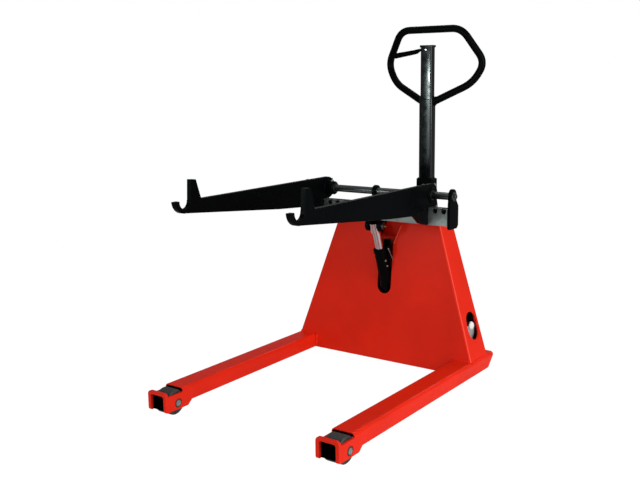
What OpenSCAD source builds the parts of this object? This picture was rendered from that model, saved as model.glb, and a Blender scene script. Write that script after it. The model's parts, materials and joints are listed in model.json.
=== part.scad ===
// Reel stacker: a low truck with two hooked arms on a tilting frame, raised by a hand pump.
// X runs across the truck, -Y is the end where the arms pick up the reel, Z = 0 is the floor.
// Stations along the truck are measured from the foot of the housing's front plate and
// moved to the middle of the truck by placed().

/* [Legs] */
// Distance between the middles of the two legs
leg_pitch = 660; // [600:5:760]
// Width of a leg
leg_w = 80; // [66:1:90]
// Height of a leg's side walls
leg_h = 50; // [40:1:60]
// Height of a leg's top face above the floor
leg_top = 86; // [84:1:100]
// Wall of a leg
leg_wall = 5; // [3:0.5:8]
// Radius of a leg's long edges
leg_edge_r = 12; // [6:0.5:14]
// Length of a leg behind the foot of the front plate
leg_rear = 173; // [150:1:190]
// How much further back a leg's top reaches than its lower edge
leg_rear_slant = 39; // [10:1:50]
// Distance of the load roller's axle in front of the front plate
leg_reach = 742; // [560:2:900]
// Thickness of the cheek plates that hold a load roller
cheek_t = 9; // [6:0.5:10]
// Length of a cheek in front of the roller axle
cheek_nose = 56; // [50:1:70]
// Length of a cheek behind the roller axle
cheek_tail = 62; // [50:1:80]
// Height of the cheek's lower edge above the floor
cheek_low = 21; // [16:1:30]

/* [Load rollers] */
// Radius of a load roller
roller_r = 41; // [38:0.5:42]
// Width of a load roller
roller_w = 58; // [44:1:60]
// Diameter of a load roller's axle
roller_axle_d = 20; // [16:1:24]

/* [Housing] */
// Thickness of the housing's plate
plate_t = 6; // [4:0.5:8]
// Height of the housing's top edge
housing_top = 545; // [520:5:560]
// Half of the housing's width where it stands on the legs
housing_foot_half = 366; // [350:1:369]
// Half of the housing's width at its top edge
housing_top_half = 213; // [200:1:240]
// Backward lean of the front plate in millimetres for each millimetre of height
plate_lean = 0.109; // [0.08:0.001:0.12]
// Height of the front plate's lower edge
plate_low = 36; // [30:1:44]
// Depth of the housing at its foot
housing_depth = 126; // [120:1:140]
// Growth of the housing's depth from the legs to the top edge
housing_depth_gain = 18; // [10:1:24]
// Bend radius between the front plate and the sides
bend_r = 9; // [8:1:28]
// Width of the slot for the lifting ram
slot_w = 56; // [54:1:70]
// Height of the slot's round lower end
slot_low = 279; // [265:1:285]
// Height at which the slot starts to flare
slot_flare_z = 462; // [440:1:480]
// Width of the slot at the top edge
slot_top_w = 124; // [90:1:140]
// Width of a hand hole in the side
hand_hole_w = 70; // [50:1:72]
// Height of a hand hole in the side
hand_hole_h = 94; // [80:1:110]
// Station of a hand hole's middle, behind the plate's foot
hand_hole_back = 83; // [78:1:86]
// Backward lean of a hand hole in degrees
hand_hole_lean = 8; // [0:1:10]

/* [Lifting frame] */
// Station of the arm shaft, in front of the plate's foot
shaft_ahead = 22; // [18:1:26]
// Height of the arm shaft
shaft_z = 660; // [650:1:672]
// Diameter of the arm shaft
shaft_d = 25; // [20:1:30]
// Distance between the inner faces of the end brackets
bracket_gap = 588; // [580:2:640]
// Thickness of an end bracket
bracket_t = 10; // [8:1:14]
// Size of the square tube behind the notched bar
beam_size = 50; // [44:1:52]
// Wall of the square tube
beam_wall = 5; // [3:0.5:6]
// Height of the square tube's lower face
beam_z = 566; // [560:1:570]
// Thickness of the notched bar
bar_t = 10; // [8:1:12]
// Height of the notched bar
bar_h = 58; // [52:1:60]
// Distance from one notch to the next
notch_pitch = 33; // [30:0.5:36]
// Width of a notch
notch_w = 18; // [17:0.5:20]
// Depth of a notch
notch_depth = 18; // [12:1:22]
// Station of the frame's pivot, behind the plate's foot
pivot_back = 95; // [92:1:98]
// Height of the frame's pivot
pivot_z = 550; // [546:1:552]
// Diameter of the pivot shaft
pivot_d = 24; // [20:1:26]

/* [Arms] */
// Distance from the arm shaft to the hook's tip
arm_reach = 780; // [700:5:860]
// Thickness of an arm
arm_t = 16; // [12:1:16]
// Radius of an arm's head round the shaft
arm_head_r = 39; // [36:0.5:39]
// Notches between the middle of the bar and each arm
arm_notches = 6; // [3:1:7]
// Radius of the seat in the hook
seat_r = 22.5; // [18:0.5:24]
// Thickness of the hook's tip
hook_tip_t = 20; // [16:1:24]
// Metal under the seat
hook_floor_t = 13; // [10:1:18]
// Height of the horn behind the seat, above the arm's top edge
horn_h = 62; // [40:1:80]
// Outer diameter of an arm's hub
hub_d = 48; // [44:1:52]
// Length of the hub on the arm's inner side
hub_in = 33; // [25:1:33]

/* [Lifting ram] */
// Station of the ram's foot shaft, behind the plate's foot
ram_foot_back = 88; // [86:1:90]
// Height of the ram's foot shaft
ram_foot_z = 193; // [185:1:200]
// Diameter of the ram's foot shaft
ram_foot_d = 28; // [24:1:32]
// Station of the ram's top pin, in front of the plate's foot
ram_pin_ahead = 28; // [26:1:30]
// Height of the ram's top pin
ram_pin_z = 538; // [534:1:540]
// Diameter of the ram's top pin
ram_pin_d = 20; // [16:1:20]
// Room round the top pin in the rod's eye, for the opened linkage
ram_pin_play = 5; // [4.8:0.1:5.5]
// Diameter of the piston rod
rod_d = 32; // [28:1:34]
// Outer diameter of the barrel
barrel_d = 44; // [42:1:45]
// Wall of the barrel
barrel_wall = 4; // [3:0.5:6]
// Distance from the foot shaft to the top of the gland
ram_body_l = 274; // [270:1:276]

/* [Steering and pump] */
// Station of the steering axis, behind the plate's foot
steer_back = 341; // [330:1:380]
// Radius of a steering wheel
wheel_r = 100; // [90:1:102]
// Width of a steering wheel
wheel_w = 50; // [40:1:56]
// Gap between the two steering wheels
wheel_gap = 44; // [42:1:50]
// Diameter of the steering wheels' axle
wheel_axle_d = 25; // [20:1:30]
// Diameter of the steering stem
stem_d = 60; // [50:1:64]
// Height of the tiller's pivot
tiller_pivot_z = 545; // [540:1:560]
// Diameter of the tiller's pivot pin
tiller_pin_d = 16; // [12:1:18]
// Distance of the pumping roller from the tiller's pivot
cam_r = 26; // [25:0.5:27]
// Diameter of the pump plunger
plunger_d = 14; // [12:1:16]

/* [Tiller] */
// Width of the lower tube
tiller_w = 55; // [50:1:58]
// Depth of the lower tube
tiller_depth = 35; // [30:1:38]
// Height of the lower tube's upper end
tiller_tube_top = 968; // [900:2:1000]
// Width of the upper tube
upper_w = 47; // [40:1:50]
// Depth of the upper tube
upper_depth = 30; // [26:1:32]
// Height of the upper tube's end
upper_top = 1160; // [1120:2:1180]
// Wall of both tubes
tiller_wall = 3; // [2:0.5:4]
// Diameter of the loop's tube
loop_d = 27; // [20:1:28]
// Distance of the loop's widest point behind the tubes
loop_bow = 59; // [40:1:70]
// Half of the loop's width at its widest
loop_half = 206; // [160:1:220]
// Height of the loop's top bar
loop_top = 1225; // [1200:1:1260]

/* [Hidden] */
$fn = 64;

red = "#d8301c";
black = "#1b1d20";
zinc = "#b9bcbc";
steel = "#d5d8da";
dark = "#2a2c2e";

// Gap left at welded seams and seats, and radial play of a running fit
seam = 0.2;
fit = 0.05;
eps = 0.01;

leg_x = leg_pitch / 2;
leg_in = leg_x - leg_w / 2;
leg_low = leg_top - leg_h;
nose_y = -leg_reach - cheek_nose;
tail_y = -leg_reach + cheek_tail;
// Thickness, post width and top bar of the arch in front of a load roller
nose_t = 12;
nose_post = 12;
nose_bar = 11;
housing_slope = (housing_foot_half - housing_top_half) / (housing_top - leg_top);
housing_leg_in = leg_in - seam;

shaft_y = -shaft_ahead;
bar_z = beam_z - 4;
bar_top = bar_z + bar_h;
bar_back_y = shaft_y - 16;
bar_front_y = bar_back_y - bar_t;
beam_top = beam_z + beam_size;
beam_back_y = bar_back_y + beam_size;
half_gap = bracket_gap / 2;

arm_x = (arm_notches + 0.5) * notch_pitch;
hook_y = shaft_y - arm_reach;
arm_top_z = shaft_z + arm_head_r;
seat_y = hook_y + hook_tip_t + seat_r;
seat_z = arm_top_z - 2;
hub_out = 3;
bush_wall = 3.5;
bush_d = shaft_d + 2 * fit + 2 * bush_wall;

ram_pin_y = -ram_pin_ahead;
ram_dy = ram_pin_y - ram_foot_back;
ram_dz = ram_pin_z - ram_foot_z;
ram_l = sqrt(ram_dy * ram_dy + ram_dz * ram_dz);
ram_lean = atan2(-ram_dy, ram_dz);
eye_half_w = 16.7;
lug_t = 14;
lug_r = 21;
ear_x = 166.5;
ear_t = 14;
pivot_lug_t = 16;

hose_d = 12;
hose_x = 24;
hose_z = 330;
stem_top = 416;
carrier_top = 2 * wheel_r + 26;
head_low = carrier_top + 12;
head_top = stem_top - 4;
head_plate_t = 12;
head_bore = stem_d + 16;
head_union_y = steer_back - head_bore / 2 - 26;
pump_top = 480;
ear_in = 14;
ear_out = 24.5;
yoke_in = tiller_w / 2;
yoke_t = 6;
yoke_top = 668;
yoke_r = 20;
cam_angle = 37.5;
cam_d = 22;
plunger_y = steer_back + 0.9 * cam_r;
plunger_top = tiller_pivot_z + cam_r * sin(cam_angle) - cam_d / 2 - 0.8;
lever_z = upper_top - 10;
lever_window = 13.5;
tank_w = head_bore + 20;
tank_l = head_bore + 36;
blade_l = arm_reach - hook_tip_t - seat_r;

// The origin lies on the floor under the middle of the truck's length
shift_y = (-hook_y - steer_back - wheel_r) / 2;

function front_y(z) = plate_lean * (z - plate_low);
function half_at(z) = housing_foot_half - housing_slope * (z - leg_top);
function back_y(z) = housing_depth + housing_depth_gain * (z - leg_top) / (housing_top - leg_top);
// Point t of the way along a rounded corner from a to b with its tip at p
function corner_at(a, p, b, t) = (1 - t) * (1 - t) * a + 2 * t * (1 - t) * p + t * t * b;
function toward(a, b, d) = a + (b - a) * d / norm(b - a);
// Path through the points with each inner corner rounded over the distance cut
function rounded_path(pts, cut, steps) = [
    pts[0],
    for (i = [1:len(pts) - 2])
        for (k = [0:steps])
            corner_at(toward(pts[i], pts[i - 1], cut), pts[i], toward(pts[i], pts[i + 1], cut), k / steps),
    pts[len(pts) - 1]
];
function unit(v) = v / norm(v);
function path_dir(path, i) = unit(path[min(i + 1, len(path) - 1)] - path[max(i - 1, 0)]);
// Side vector of each ring, carried along the path so that the tube does not twist
function side_vectors(path, i = 0, last = [0, 0, 0]) =
    i == len(path) ? [] :
    let (d = path_dir(path, i),
         guess = i == 0 ? (abs(d[1]) < 0.9 ? [0, 1, 0] : [1, 0, 0]) : last,
         s = unit(guess - (guess * d) * d))
    concat([s], side_vectors(path, i + 1, s));

module placed() {
    translate([0, shift_y, 0]) children();
}

// Round tube along a path of points
module tube_along(path, d, sides = 16) {
    n = len(path);
    sv = side_vectors(path);
    rings = [
        for (i = [0:n - 1])
            for (k = [0:sides - 1])
                let (a = 360 * k / sides, u = sv[i], w = cross(path_dir(path, i), u))
                path[i] + (cos(a) * u + sin(a) * w) * d / 2
    ];
    walls = [
        for (i = [0:n - 2])
            for (k = [0:sides - 1])
                let (m = (k + 1) % sides)
                each [
                    [i * sides + k, (i + 1) * sides + k, (i + 1) * sides + m],
                    [i * sides + k, (i + 1) * sides + m, i * sides + m]
                ]
    ];
    ends = [
        [for (k = [0:sides - 1]) k],
        [for (k = [sides - 1:-1:0]) (n - 1) * sides + k]
    ];
    polyhedron(points = rings, faces = concat(walls, ends), convexity = 6);
}

module round_rect(w, h, r) {
    translate([-w / 2 + r, -h / 2]) square([w - 2 * r, h]);
    translate([-w / 2, -h / 2 + r]) square([w, h - 2 * r]);
    for (x = [-1, 1])
        for (y = [-1, 1])
            translate([x * (w / 2 - r), y * (h / 2 - r)]) circle(r = r);
}

// Profile drawn as (Y, Z) and given a thickness along X, from x0 to x1
module side_plate(x0, x1) {
    translate([x0, 0, 0])
        rotate([90, 0, 90])
            linear_extrude(x1 - x0)
                children();
}

// Profile drawn as (X, Z) and given a thickness along Y, from y0 to y1
module front_plate(y0, y1) {
    translate([0, y1, 0])
        rotate([90, 0, 0])
            linear_extrude(y1 - y0)
                children();
}

module rod_x(x0, x1, y, z, d) {
    translate([x0, y, z]) rotate([0, 90, 0]) cylinder(h = x1 - x0, d = d);
}

module ring_x(x0, x1, y, z, d, bore) {
    translate([x0, y, z])
        rotate([0, 90, 0])
            difference() {
                cylinder(h = x1 - x0, d = d);
                translate([0, 0, -1]) cylinder(h = x1 - x0 + 2, d = bore);
            }
}

// Housing

// Level cut of the folded housing at height z, grown inwards by the wall
module housing_cut(z, wall) {
    w = half_at(z) - wall;
    r = bend_r - wall;
    y0 = front_y(z) + wall;
    y1 = back_y(z) + (wall > 0 ? 20 : 0);
    translate([0, 0, z - eps])
        linear_extrude(2 * eps)
            union() {
                for (x = [-1, 1]) translate([x * (w - r), y0 + r]) circle(r = r, $fn = 32);
                translate([-w + r, y0]) square([2 * (w - r), y1 - y0]);
                translate([-w, y0 + r]) square([2 * w, y1 - y0 - r]);
            }
}

module housing_block(wall, low, high) {
    hull() {
        housing_cut(low, wall);
        housing_cut(high, wall);
    }
}

module slot_outline() {
    translate([0, slot_low + slot_w / 2]) circle(d = slot_w);
    polygon([
        [-slot_w / 2, slot_low + slot_w / 2], [slot_w / 2, slot_low + slot_w / 2],
        [slot_w / 2, slot_flare_z], [slot_top_w / 2, housing_top + 5],
        [-slot_top_w / 2, housing_top + 5], [-slot_w / 2, slot_flare_z]
    ]);
}

module hand_hole_outline() {
    travel = hand_hole_h - hand_hole_w;
    for (z = [-1, 1]) translate([0, z * travel / 2]) circle(d = hand_hole_w);
    square([hand_hole_w, travel], center = true);
}

module housing_shell() {
    color(red) placed()
        difference() {
            housing_block(0, plate_low, housing_top);
            housing_block(plate_t, plate_low - 10, housing_top + 10);
            front_plate(-40, 90) slot_outline();
            side_plate(-housing_foot_half - 40, housing_foot_half + 40)
                translate([hand_hole_back, ram_foot_z + 2])
                    rotate(-hand_hole_lean) hand_hole_outline();
            for (x = [-1, 1])
                translate([x > 0 ? housing_leg_in : -housing_leg_in - housing_foot_half, -60, 0])
                    cube([housing_foot_half, 300, leg_top]);
        }
}

rear_plate_y = housing_depth - plate_t - 1;
module rear_plate() {
    w0 = half_at(leg_top + 2) - plate_t - seam;
    w1 = half_at(housing_top - 10) - plate_t - seam;
    color(red) placed()
        front_plate(rear_plate_y, rear_plate_y + plate_t)
            difference() {
                polygon([[-w0, leg_top + 2], [w0, leg_top + 2], [w1, housing_top - 10], [-w1, housing_top - 10]]);
                translate([0, 425]) round_rect(150, 70, 20);
                for (x = [-1, 1]) translate([x * 160, 300]) round_rect(90, 120, 24);
                translate([hose_x, hose_z]) circle(d = hose_d + 14);
            }
}

beam_low = 440;
module pivot_beam() {
    y0 = 68;
    y1 = rear_plate_y - seam;
    w0 = half_at(beam_low) - plate_t - seam;
    w1 = half_at(beam_low + 40) - plate_t - seam;
    color(red) placed()
        difference() {
            front_plate(y0, y1) polygon([[-w0, beam_low], [w0, beam_low], [w1, beam_low + 40], [-w1, beam_low + 40]]);
            translate([-300, y0 + plate_t, beam_low - 1]) cube([600, y1, 41 - plate_t]);
        }
}

module bottom_plate() {
    y0 = plate_t + 2;
    color(red) placed()
        difference() {
            translate([-housing_leg_in, y0, leg_low + 10])
                cube([2 * housing_leg_in, rear_plate_y - y0, plate_t]);
            for (x = [-180, 0, 180]) translate([x, 62, 0]) cylinder(h = 100, d = 60);
        }
}

// Legs

module leg_cover() {
    translate([0, leg_top - leg_h / 2])
        difference() {
            union() {
                round_rect(leg_w, leg_h, leg_edge_r);
                translate([-leg_w / 2, -leg_h / 2]) square([leg_w, leg_h / 2]);
            }
            translate([0, -leg_wall]) round_rect(leg_w - 2 * leg_wall, leg_h, leg_edge_r - leg_wall);
            translate([-leg_w / 2 + leg_wall, -leg_h]) square([leg_w - 2 * leg_wall, leg_h]);
        }
}

module cheek_outline(top) {
    polygon([
        [nose_y, top], [nose_y, cheek_low + 7], [nose_y + 2, cheek_low + 2], [nose_y + 7, cheek_low],
        [tail_y - 18, cheek_low], [tail_y, leg_low], [tail_y, top]
    ]);
}

module arch_outline() {
    difference() {
        union() {
            translate([0, (leg_top + cheek_low) / 2]) round_rect(leg_w, leg_top - cheek_low, leg_edge_r);
            translate([-leg_w / 2, cheek_low]) square([leg_w, (leg_top - cheek_low) / 2]);
        }
        translate([0, (leg_top - nose_bar) / 2])
            round_rect(leg_w - 2 * nose_post, leg_top - nose_bar, 7);
    }
}

module leg() {
    shoulder = leg_top - leg_edge_r;
    end_low_y = leg_rear - leg_rear_slant;
    difference() {
        union() {
            front_plate(nose_y, leg_rear) leg_cover();
            // Rear end, closed by a plate that runs down and forward
            front_plate(leg_rear - leg_wall, leg_rear)
                translate([0, leg_top - leg_h / 2]) round_rect(leg_w, leg_h, leg_edge_r);
            side_plate(1 - leg_w / 2, leg_w / 2 - 1)
                polygon([
                    [end_low_y - leg_wall - 2, leg_low], [end_low_y, leg_low],
                    [leg_rear, shoulder], [leg_rear - leg_wall - 2, shoulder]
                ]);
            // Cheeks beside the load roller and the arch in front of it
            for (s = [-1, 1])
                side_plate(s > 0 ? leg_w / 2 - cheek_t : -leg_w / 2, s > 0 ? leg_w / 2 : -leg_w / 2 + cheek_t)
                    cheek_outline(shoulder);
            intersection() {
                front_plate(nose_y, nose_y + nose_t) arch_outline();
                side_plate(-leg_w, leg_w) cheek_outline(leg_top + 1);
            }
        }
        side_plate(-leg_w, leg_w)
            polygon([
                [end_low_y, leg_low - 1], [end_low_y, leg_low], [leg_rear, shoulder],
                [leg_rear + 20, shoulder], [leg_rear + 20, leg_low - 1]
            ]);
        // Window over the roller, cut through both bends
        translate([-leg_w / 2 - 1, nose_y + nose_t, leg_top - leg_edge_r - 2])
            cube([leg_w + 2, cheek_nose + 10, 40]);
        // Axle bore with a recess for the ring on each side
        rod_x(-leg_w, leg_w, -leg_reach, roller_r, roller_axle_d + 0.2);
        for (s = [-1, 1])
            translate([s * (leg_w / 2 - 1.5), -leg_reach, roller_r])
                rotate([0, 90, 0])
                    cylinder(h = 3.1, d = roller_axle_d + 10, center = true);
    }
}

module leg_left() {
    color(red) placed() translate([-leg_x, 0, 0]) leg();
}

module leg_right() {
    color(red) placed() translate([leg_x, 0, 0]) leg();
}

module axle_groove(x) {
    ring_x(x - 0.8, x + 0.8, -leg_reach, roller_r, roller_axle_d + 4, roller_axle_d - 2);
}

module roller_axles() {
    color(zinc) placed()
        for (s = [-1, 1])
            difference() {
                rod_x(s * leg_x - leg_w / 2 + 0.5, s * leg_x + leg_w / 2 - 0.5, -leg_reach, roller_r, roller_axle_d);
                for (e = [-1, 1]) axle_groove(s * leg_x + e * (leg_w / 2 - 1.6));
            }
}

module axle_circlips() {
    color(dark) placed()
        for (s = [-1, 1])
            for (e = [-1, 1])
                translate([s * leg_x + e * (leg_w / 2 - 1.6), -leg_reach, roller_r])
                    rotate([0, 90, 0])
                        difference() {
                            cylinder(h = 1.2, d = roller_axle_d + 7, center = true);
                            cylinder(h = 3, d = roller_axle_d - 1.8, center = true);
                            translate([0, -12, 0]) cube([5, 14, 3], center = true);
                        }
}

// Load rollers

module load_roller(s) {
    color(dark) placed()
        translate([s * leg_x, -leg_reach, roller_r])
            rotate([0, 90, 0])
                rotate_extrude()
                    difference() {
                        polygon([
                            [23.6, -roller_w / 2], [roller_r - 4, -roller_w / 2], [roller_r, -roller_w / 2 + 4],
                            [roller_r, roller_w / 2 - 4], [roller_r - 4, roller_w / 2], [23.6, roller_w / 2]
                        ]);
                        for (e = [-1, 1]) translate([31, e * roller_w / 2]) circle(r = 2);
                    }
}

module load_bearings(s) {
    color(steel) placed()
        for (e = [-1, 1])
            translate([s * leg_x + e * (roller_w / 2 - 9), -leg_reach, roller_r])
                rotate([0, 90, 0])
                    rotate_extrude()
                        difference() {
                            translate([roller_axle_d / 2 + fit, -7])
                                square([23.5 - roller_axle_d / 2 - fit, 14]);
                            for (f = [-1, 1]) translate([17, f * 7]) circle(r = 1.6);
                        }
}

module roller_left() { load_roller(-1); }
module roller_right() { load_roller(1); }
module roller_bearings_left() { load_bearings(-1); }
module roller_bearings_right() { load_bearings(1); }

// Frame pivot and ram foot in the housing

module pivot_lugs() {
    color(red) placed()
        for (s = [-1, 1])
            translate([s * (ear_x - seam - pivot_lug_t / 2), 0, 0])
                difference() {
                    side_plate(-pivot_lug_t / 2, pivot_lug_t / 2) union() {
                        translate([pivot_back, pivot_z]) circle(r = 22);
                        polygon([
                            [pivot_back - 24, beam_low + 40 + seam], [rear_plate_y - 1, beam_low + 40 + seam],
                            [rear_plate_y - 1, pivot_z - 14], [pivot_back + 16, pivot_z], [pivot_back - 22, pivot_z]
                        ]);
                    }
                    rod_x(-20, 20, pivot_back, pivot_z, pivot_d + 0.1);
                }
}

module pivot_shaft() {
    reach = ear_x + ear_t + 4;
    color(steel) placed()
        difference() {
            rod_x(-reach, reach, pivot_back, pivot_z, pivot_d);
            for (s = [-1, 1]) ring_x(s * (reach - 2.5) - 0.7, s * (reach - 2.5) + 0.7, pivot_back, pivot_z, pivot_d + 2, pivot_d - 2);
        }
}

// The supports stand on the legs, just inside the housing's sides
foot_support_t = 10;
foot_support_x = half_at(ram_foot_z + 10) - plate_t - foot_support_t - 2;
module foot_shaft_supports() {
    color(zinc) placed()
        for (s = [-1, 1])
            difference() {
                side_plate(s > 0 ? foot_support_x : -foot_support_x - foot_support_t,
                    s > 0 ? foot_support_x + foot_support_t : -foot_support_x)
                    polygon([
                        [ram_foot_back - 44, leg_top + seam], [rear_plate_y - seam, leg_top + seam],
                        [rear_plate_y - seam, ram_foot_z + 1], [ram_foot_back - 30, ram_foot_z + 1],
                        [ram_foot_back - 44, ram_foot_z - 16]
                    ]);
                rod_x(-400, 400, ram_foot_back, ram_foot_z, ram_foot_d + 0.2);
            }
}

module ram_foot_shaft() {
    reach = foot_support_x + foot_support_t + 6;
    color(steel) placed()
        rod_x(-reach, reach, ram_foot_back, ram_foot_z, ram_foot_d);
}

// Steering head behind the housing

module head_plate_outline() {
    difference() {
        union() {
            translate([0, steer_back]) circle(d = head_bore + 40);
            polygon([
                [-120, rear_plate_y + plate_t + seam], [120, rear_plate_y + plate_t + seam],
                [(head_bore + 40) / 2, steer_back], [-(head_bore + 40) / 2, steer_back]
            ]);
        }
        translate([0, steer_back]) circle(d = head_bore);
    }
}

module steering_bracket() {
    tube_front = steer_back - head_bore / 2 - 6;
    color(red) placed()
        union() {
            for (z = [head_low, head_top - head_plate_t])
                translate([0, 0, z]) linear_extrude(head_plate_t) head_plate_outline();
            translate([0, steer_back, head_low])
                difference() {
                    cylinder(h = head_top - head_low, d = head_bore + 20);
                    translate([0, 0, -1]) cylinder(h = 300, d = head_bore);
                }
            translate([-6, rear_plate_y + plate_t + seam, head_low])
                cube([12, tube_front - rear_plate_y - plate_t, head_top - head_low]);
            // Union for the hose
            front_plate(head_union_y, steer_back - head_bore / 2 + 2)
                translate([hose_x, hose_z]) circle(d = hose_d + 10);
        }
}

module head_bushings() {
    bush_h = 30;
    color("#b08a45") placed()
        translate([0, steer_back, 0])
            for (z = [head_low, head_top - bush_h])
                difference() {
                    union() {
                        translate([0, 0, z]) cylinder(h = bush_h, d = head_bore - 0.1);
                        if (z > head_low + bush_h)
                            translate([0, 0, head_top]) cylinder(h = 3.7, d = head_bore + 14);
                    }
                    translate([0, 0, z - 1]) cylinder(h = bush_h + 8, d = stem_d + 2 * fit);
                }
}

module thrust_bearing() {
    color(steel) placed()
        translate([0, steer_back, carrier_top + 0.3])
            rotate_extrude()
                difference() {
                    translate([stem_d / 2 + 1, 0]) square([(head_bore + 14 - stem_d) / 2, 11.7]);
                    translate([(head_bore + 14) / 2 + 2, 5.85]) circle(r = 3);
                }
}

module hydraulic_hose() {
    start_z = ram_foot_z + 42;
    start_y = ram_foot_back - 42 * tan(ram_lean);
    path = rounded_path([
        [barrel_d / 2 + 10, start_y, start_z], [barrel_d / 2 + 34, start_y, start_z],
        [barrel_d / 2 + 34, start_y + 8, hose_z], [hose_x, rear_plate_y - 14, hose_z],
        [hose_x, head_union_y - seam - 20, hose_z], [hose_x, head_union_y - seam, hose_z]
    ], 11, 4);
    color(dark) placed() tube_along(path, hose_d, 12);
}

// Lifting frame

module frame_beam() {
    color(black) placed()
        difference() {
            translate([-half_gap + seam, bar_back_y, beam_z]) cube([2 * (half_gap - seam), beam_size, beam_size]);
            translate([-half_gap, bar_back_y + beam_wall, beam_z + beam_wall])
                cube([2 * half_gap, beam_size - 2 * beam_wall, beam_size - 2 * beam_wall]);
        }
}

module notch() {
    translate([0, bar_top - notch_depth + notch_w / 2]) circle(d = notch_w);
    translate([-notch_w / 2, bar_top - notch_depth + notch_w / 2]) square([notch_w, notch_depth]);
}

notch_count = floor((half_gap - notch_w / 2 - 2) / notch_pitch - 0.5);
module notched_bar() {
    color(zinc) placed()
        front_plate(bar_front_y, bar_back_y - seam)
            difference() {
                translate([-half_gap + seam, bar_z]) square([2 * (half_gap - seam), bar_h]);
                for (k = [0:notch_count])
                    for (s = [-1, 1])
                        translate([s * (k + 0.5) * notch_pitch, 0]) notch();
            }
}

module bracket_outline() {
    translate([shaft_y, shaft_z + 4]) circle(r = 21);
    polygon([
        [shaft_y - 21, shaft_z + 4], [bar_front_y + 1, bar_top], [bar_front_y + 1, beam_z - 12],
        [bar_front_y + 5, beam_z - 16], [beam_back_y - 8, beam_z - 16], [beam_back_y + 2, beam_z - 6],
        [beam_back_y + 2, bar_top + 6], [shaft_y + 21, shaft_z - 14], [shaft_y + 21, shaft_z + 4]
    ]);
}

module end_bracket(x0) {
    color(black) placed()
        difference() {
            side_plate(x0, x0 + bracket_t) bracket_outline();
            rod_x(x0 - 1, x0 + bracket_t + 1, shaft_y, shaft_z, shaft_d + 0.1);
        }
}

module end_bracket_left() { end_bracket(-half_gap - bracket_t); }
module end_bracket_right() { end_bracket(half_gap); }

module centre_lug() {
    color(black) placed()
        difference() {
            side_plate(-6, 6) union() {
                translate([shaft_y, shaft_z]) circle(r = 21);
                polygon([
                    [bar_back_y + 1, beam_top + seam], [beam_back_y - 6, beam_top + seam],
                    [shaft_y + 21, shaft_z], [shaft_y - 21, shaft_z], [shaft_y - 19, shaft_z - 14]
                ]);
            }
            rod_x(-8, 8, shaft_y, shaft_z, shaft_d + 0.1);
        }
}

module arm_shaft() {
    color(steel) placed()
        rod_x(-half_gap - bracket_t, half_gap + bracket_t, shaft_y, shaft_z, shaft_d);
}

module shaft_end_washers() {
    color(zinc) placed()
        for (s = [-1, 1])
            translate([s * (half_gap + bracket_t), shaft_y, shaft_z])
                rotate([0, s * 90, 0]) {
                    cylinder(h = 4, d = shaft_d + 8);
                    cylinder(h = 10, d = 17, $fn = 6);
                }
}

module ear_outline() {
    translate([pivot_back, pivot_z]) circle(r = 22);
    polygon([
        [beam_back_y + seam, beam_z + 5], [pivot_back - 29, beam_z + 7], [pivot_back - 22, pivot_z + 2],
        [pivot_back, pivot_z], [pivot_back + 22, pivot_z], [pivot_back + 12, pivot_z + 22],
        [pivot_back - 25, beam_top - 13], [beam_back_y + seam, beam_top - 4]
    ]);
}

module pivot_ears() {
    color(black) placed()
        for (s = [-1, 1])
            difference() {
                side_plate(s > 0 ? ear_x : -ear_x - ear_t, s > 0 ? ear_x + ear_t : -ear_x) ear_outline();
                rod_x(-ear_x - 20, ear_x + 20, pivot_back, pivot_z, pivot_d + 2 * fit);
            }
}

ram_lug_x = eye_half_w + 0.6;
module ram_lugs() {
    color(black) placed()
        for (s = [-1, 1])
            difference() {
                side_plate(s > 0 ? ram_lug_x : -ram_lug_x - lug_t, s > 0 ? ram_lug_x + lug_t : -ram_lug_x) union() {
                    translate([ram_pin_y, ram_pin_z]) circle(r = lug_r);
                    polygon([
                        [bar_back_y + seam, beam_z - seam], [beam_back_y - 4, beam_z - seam],
                        [ram_pin_y + lug_r, ram_pin_z - 4], [ram_pin_y - lug_r, ram_pin_z],
                        [ram_pin_y - lug_r + 4, ram_pin_z + 12], [bar_back_y + seam, bar_z - 1]
                    ]);
                }
                rod_x(-60, 60, ram_pin_y, ram_pin_z, ram_pin_d + 0.1);
            }
}

module ram_pin() {
    reach = ram_lug_x + lug_t;
    color(steel) placed() {
        rod_x(-reach - 6, reach + 6, ram_pin_y, ram_pin_z, ram_pin_d);
        for (s = [-1, 1])
            ring_x(s > 0 ? reach + seam : -reach - 3, s > 0 ? reach + 3 : -reach - seam, ram_pin_y, ram_pin_z, ram_pin_d + 8, ram_pin_d - 0.5);
    }
}

// Arms

module arm_outline() {
    outer_r = hook_tip_t + seat_r - 2;
    difference() {
        union() {
            translate([shaft_y, shaft_z]) circle(r = arm_head_r);
            // Blade from the head to the hook, with the foot in front of the notched bar
            polygon([
                [shaft_y, arm_top_z], [seat_y, arm_top_z], [seat_y, seat_z - seat_r - hook_floor_t],
                [seat_y + 0.285 * blade_l, arm_top_z - 59], [seat_y + 0.61 * blade_l, arm_top_z - 83],
                [seat_y + 0.847 * blade_l, arm_top_z - 96],
                [-96, bar_z + 11], [bar_front_y - 8, bar_z], [bar_front_y - 1.5, bar_z],
                [bar_front_y - 1.5, bar_top + 1], [shaft_y, bar_top + 1]
            ]);
            // Horn behind the seat
            polygon([
                [seat_y + seat_r, seat_z - 20], [seat_y + seat_r + 5, arm_top_z + horn_h],
                [seat_y + seat_r + 28, arm_top_z + horn_h - 2], [seat_y + seat_r + 48, arm_top_z], [seat_y + seat_r + 60, seat_z - 20]
            ]);
            // Hook
            intersection() {
                translate([hook_y + outer_r, seat_z - seat_r - hook_floor_t + outer_r]) circle(r = outer_r);
                translate([hook_y, seat_z - 60]) square([60, 60 + 3]);
            }
        }
        translate([seat_y, seat_z]) circle(r = seat_r);
        translate([seat_y - seat_r, seat_z]) square([2 * seat_r, 30]);
    }
}

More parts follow.
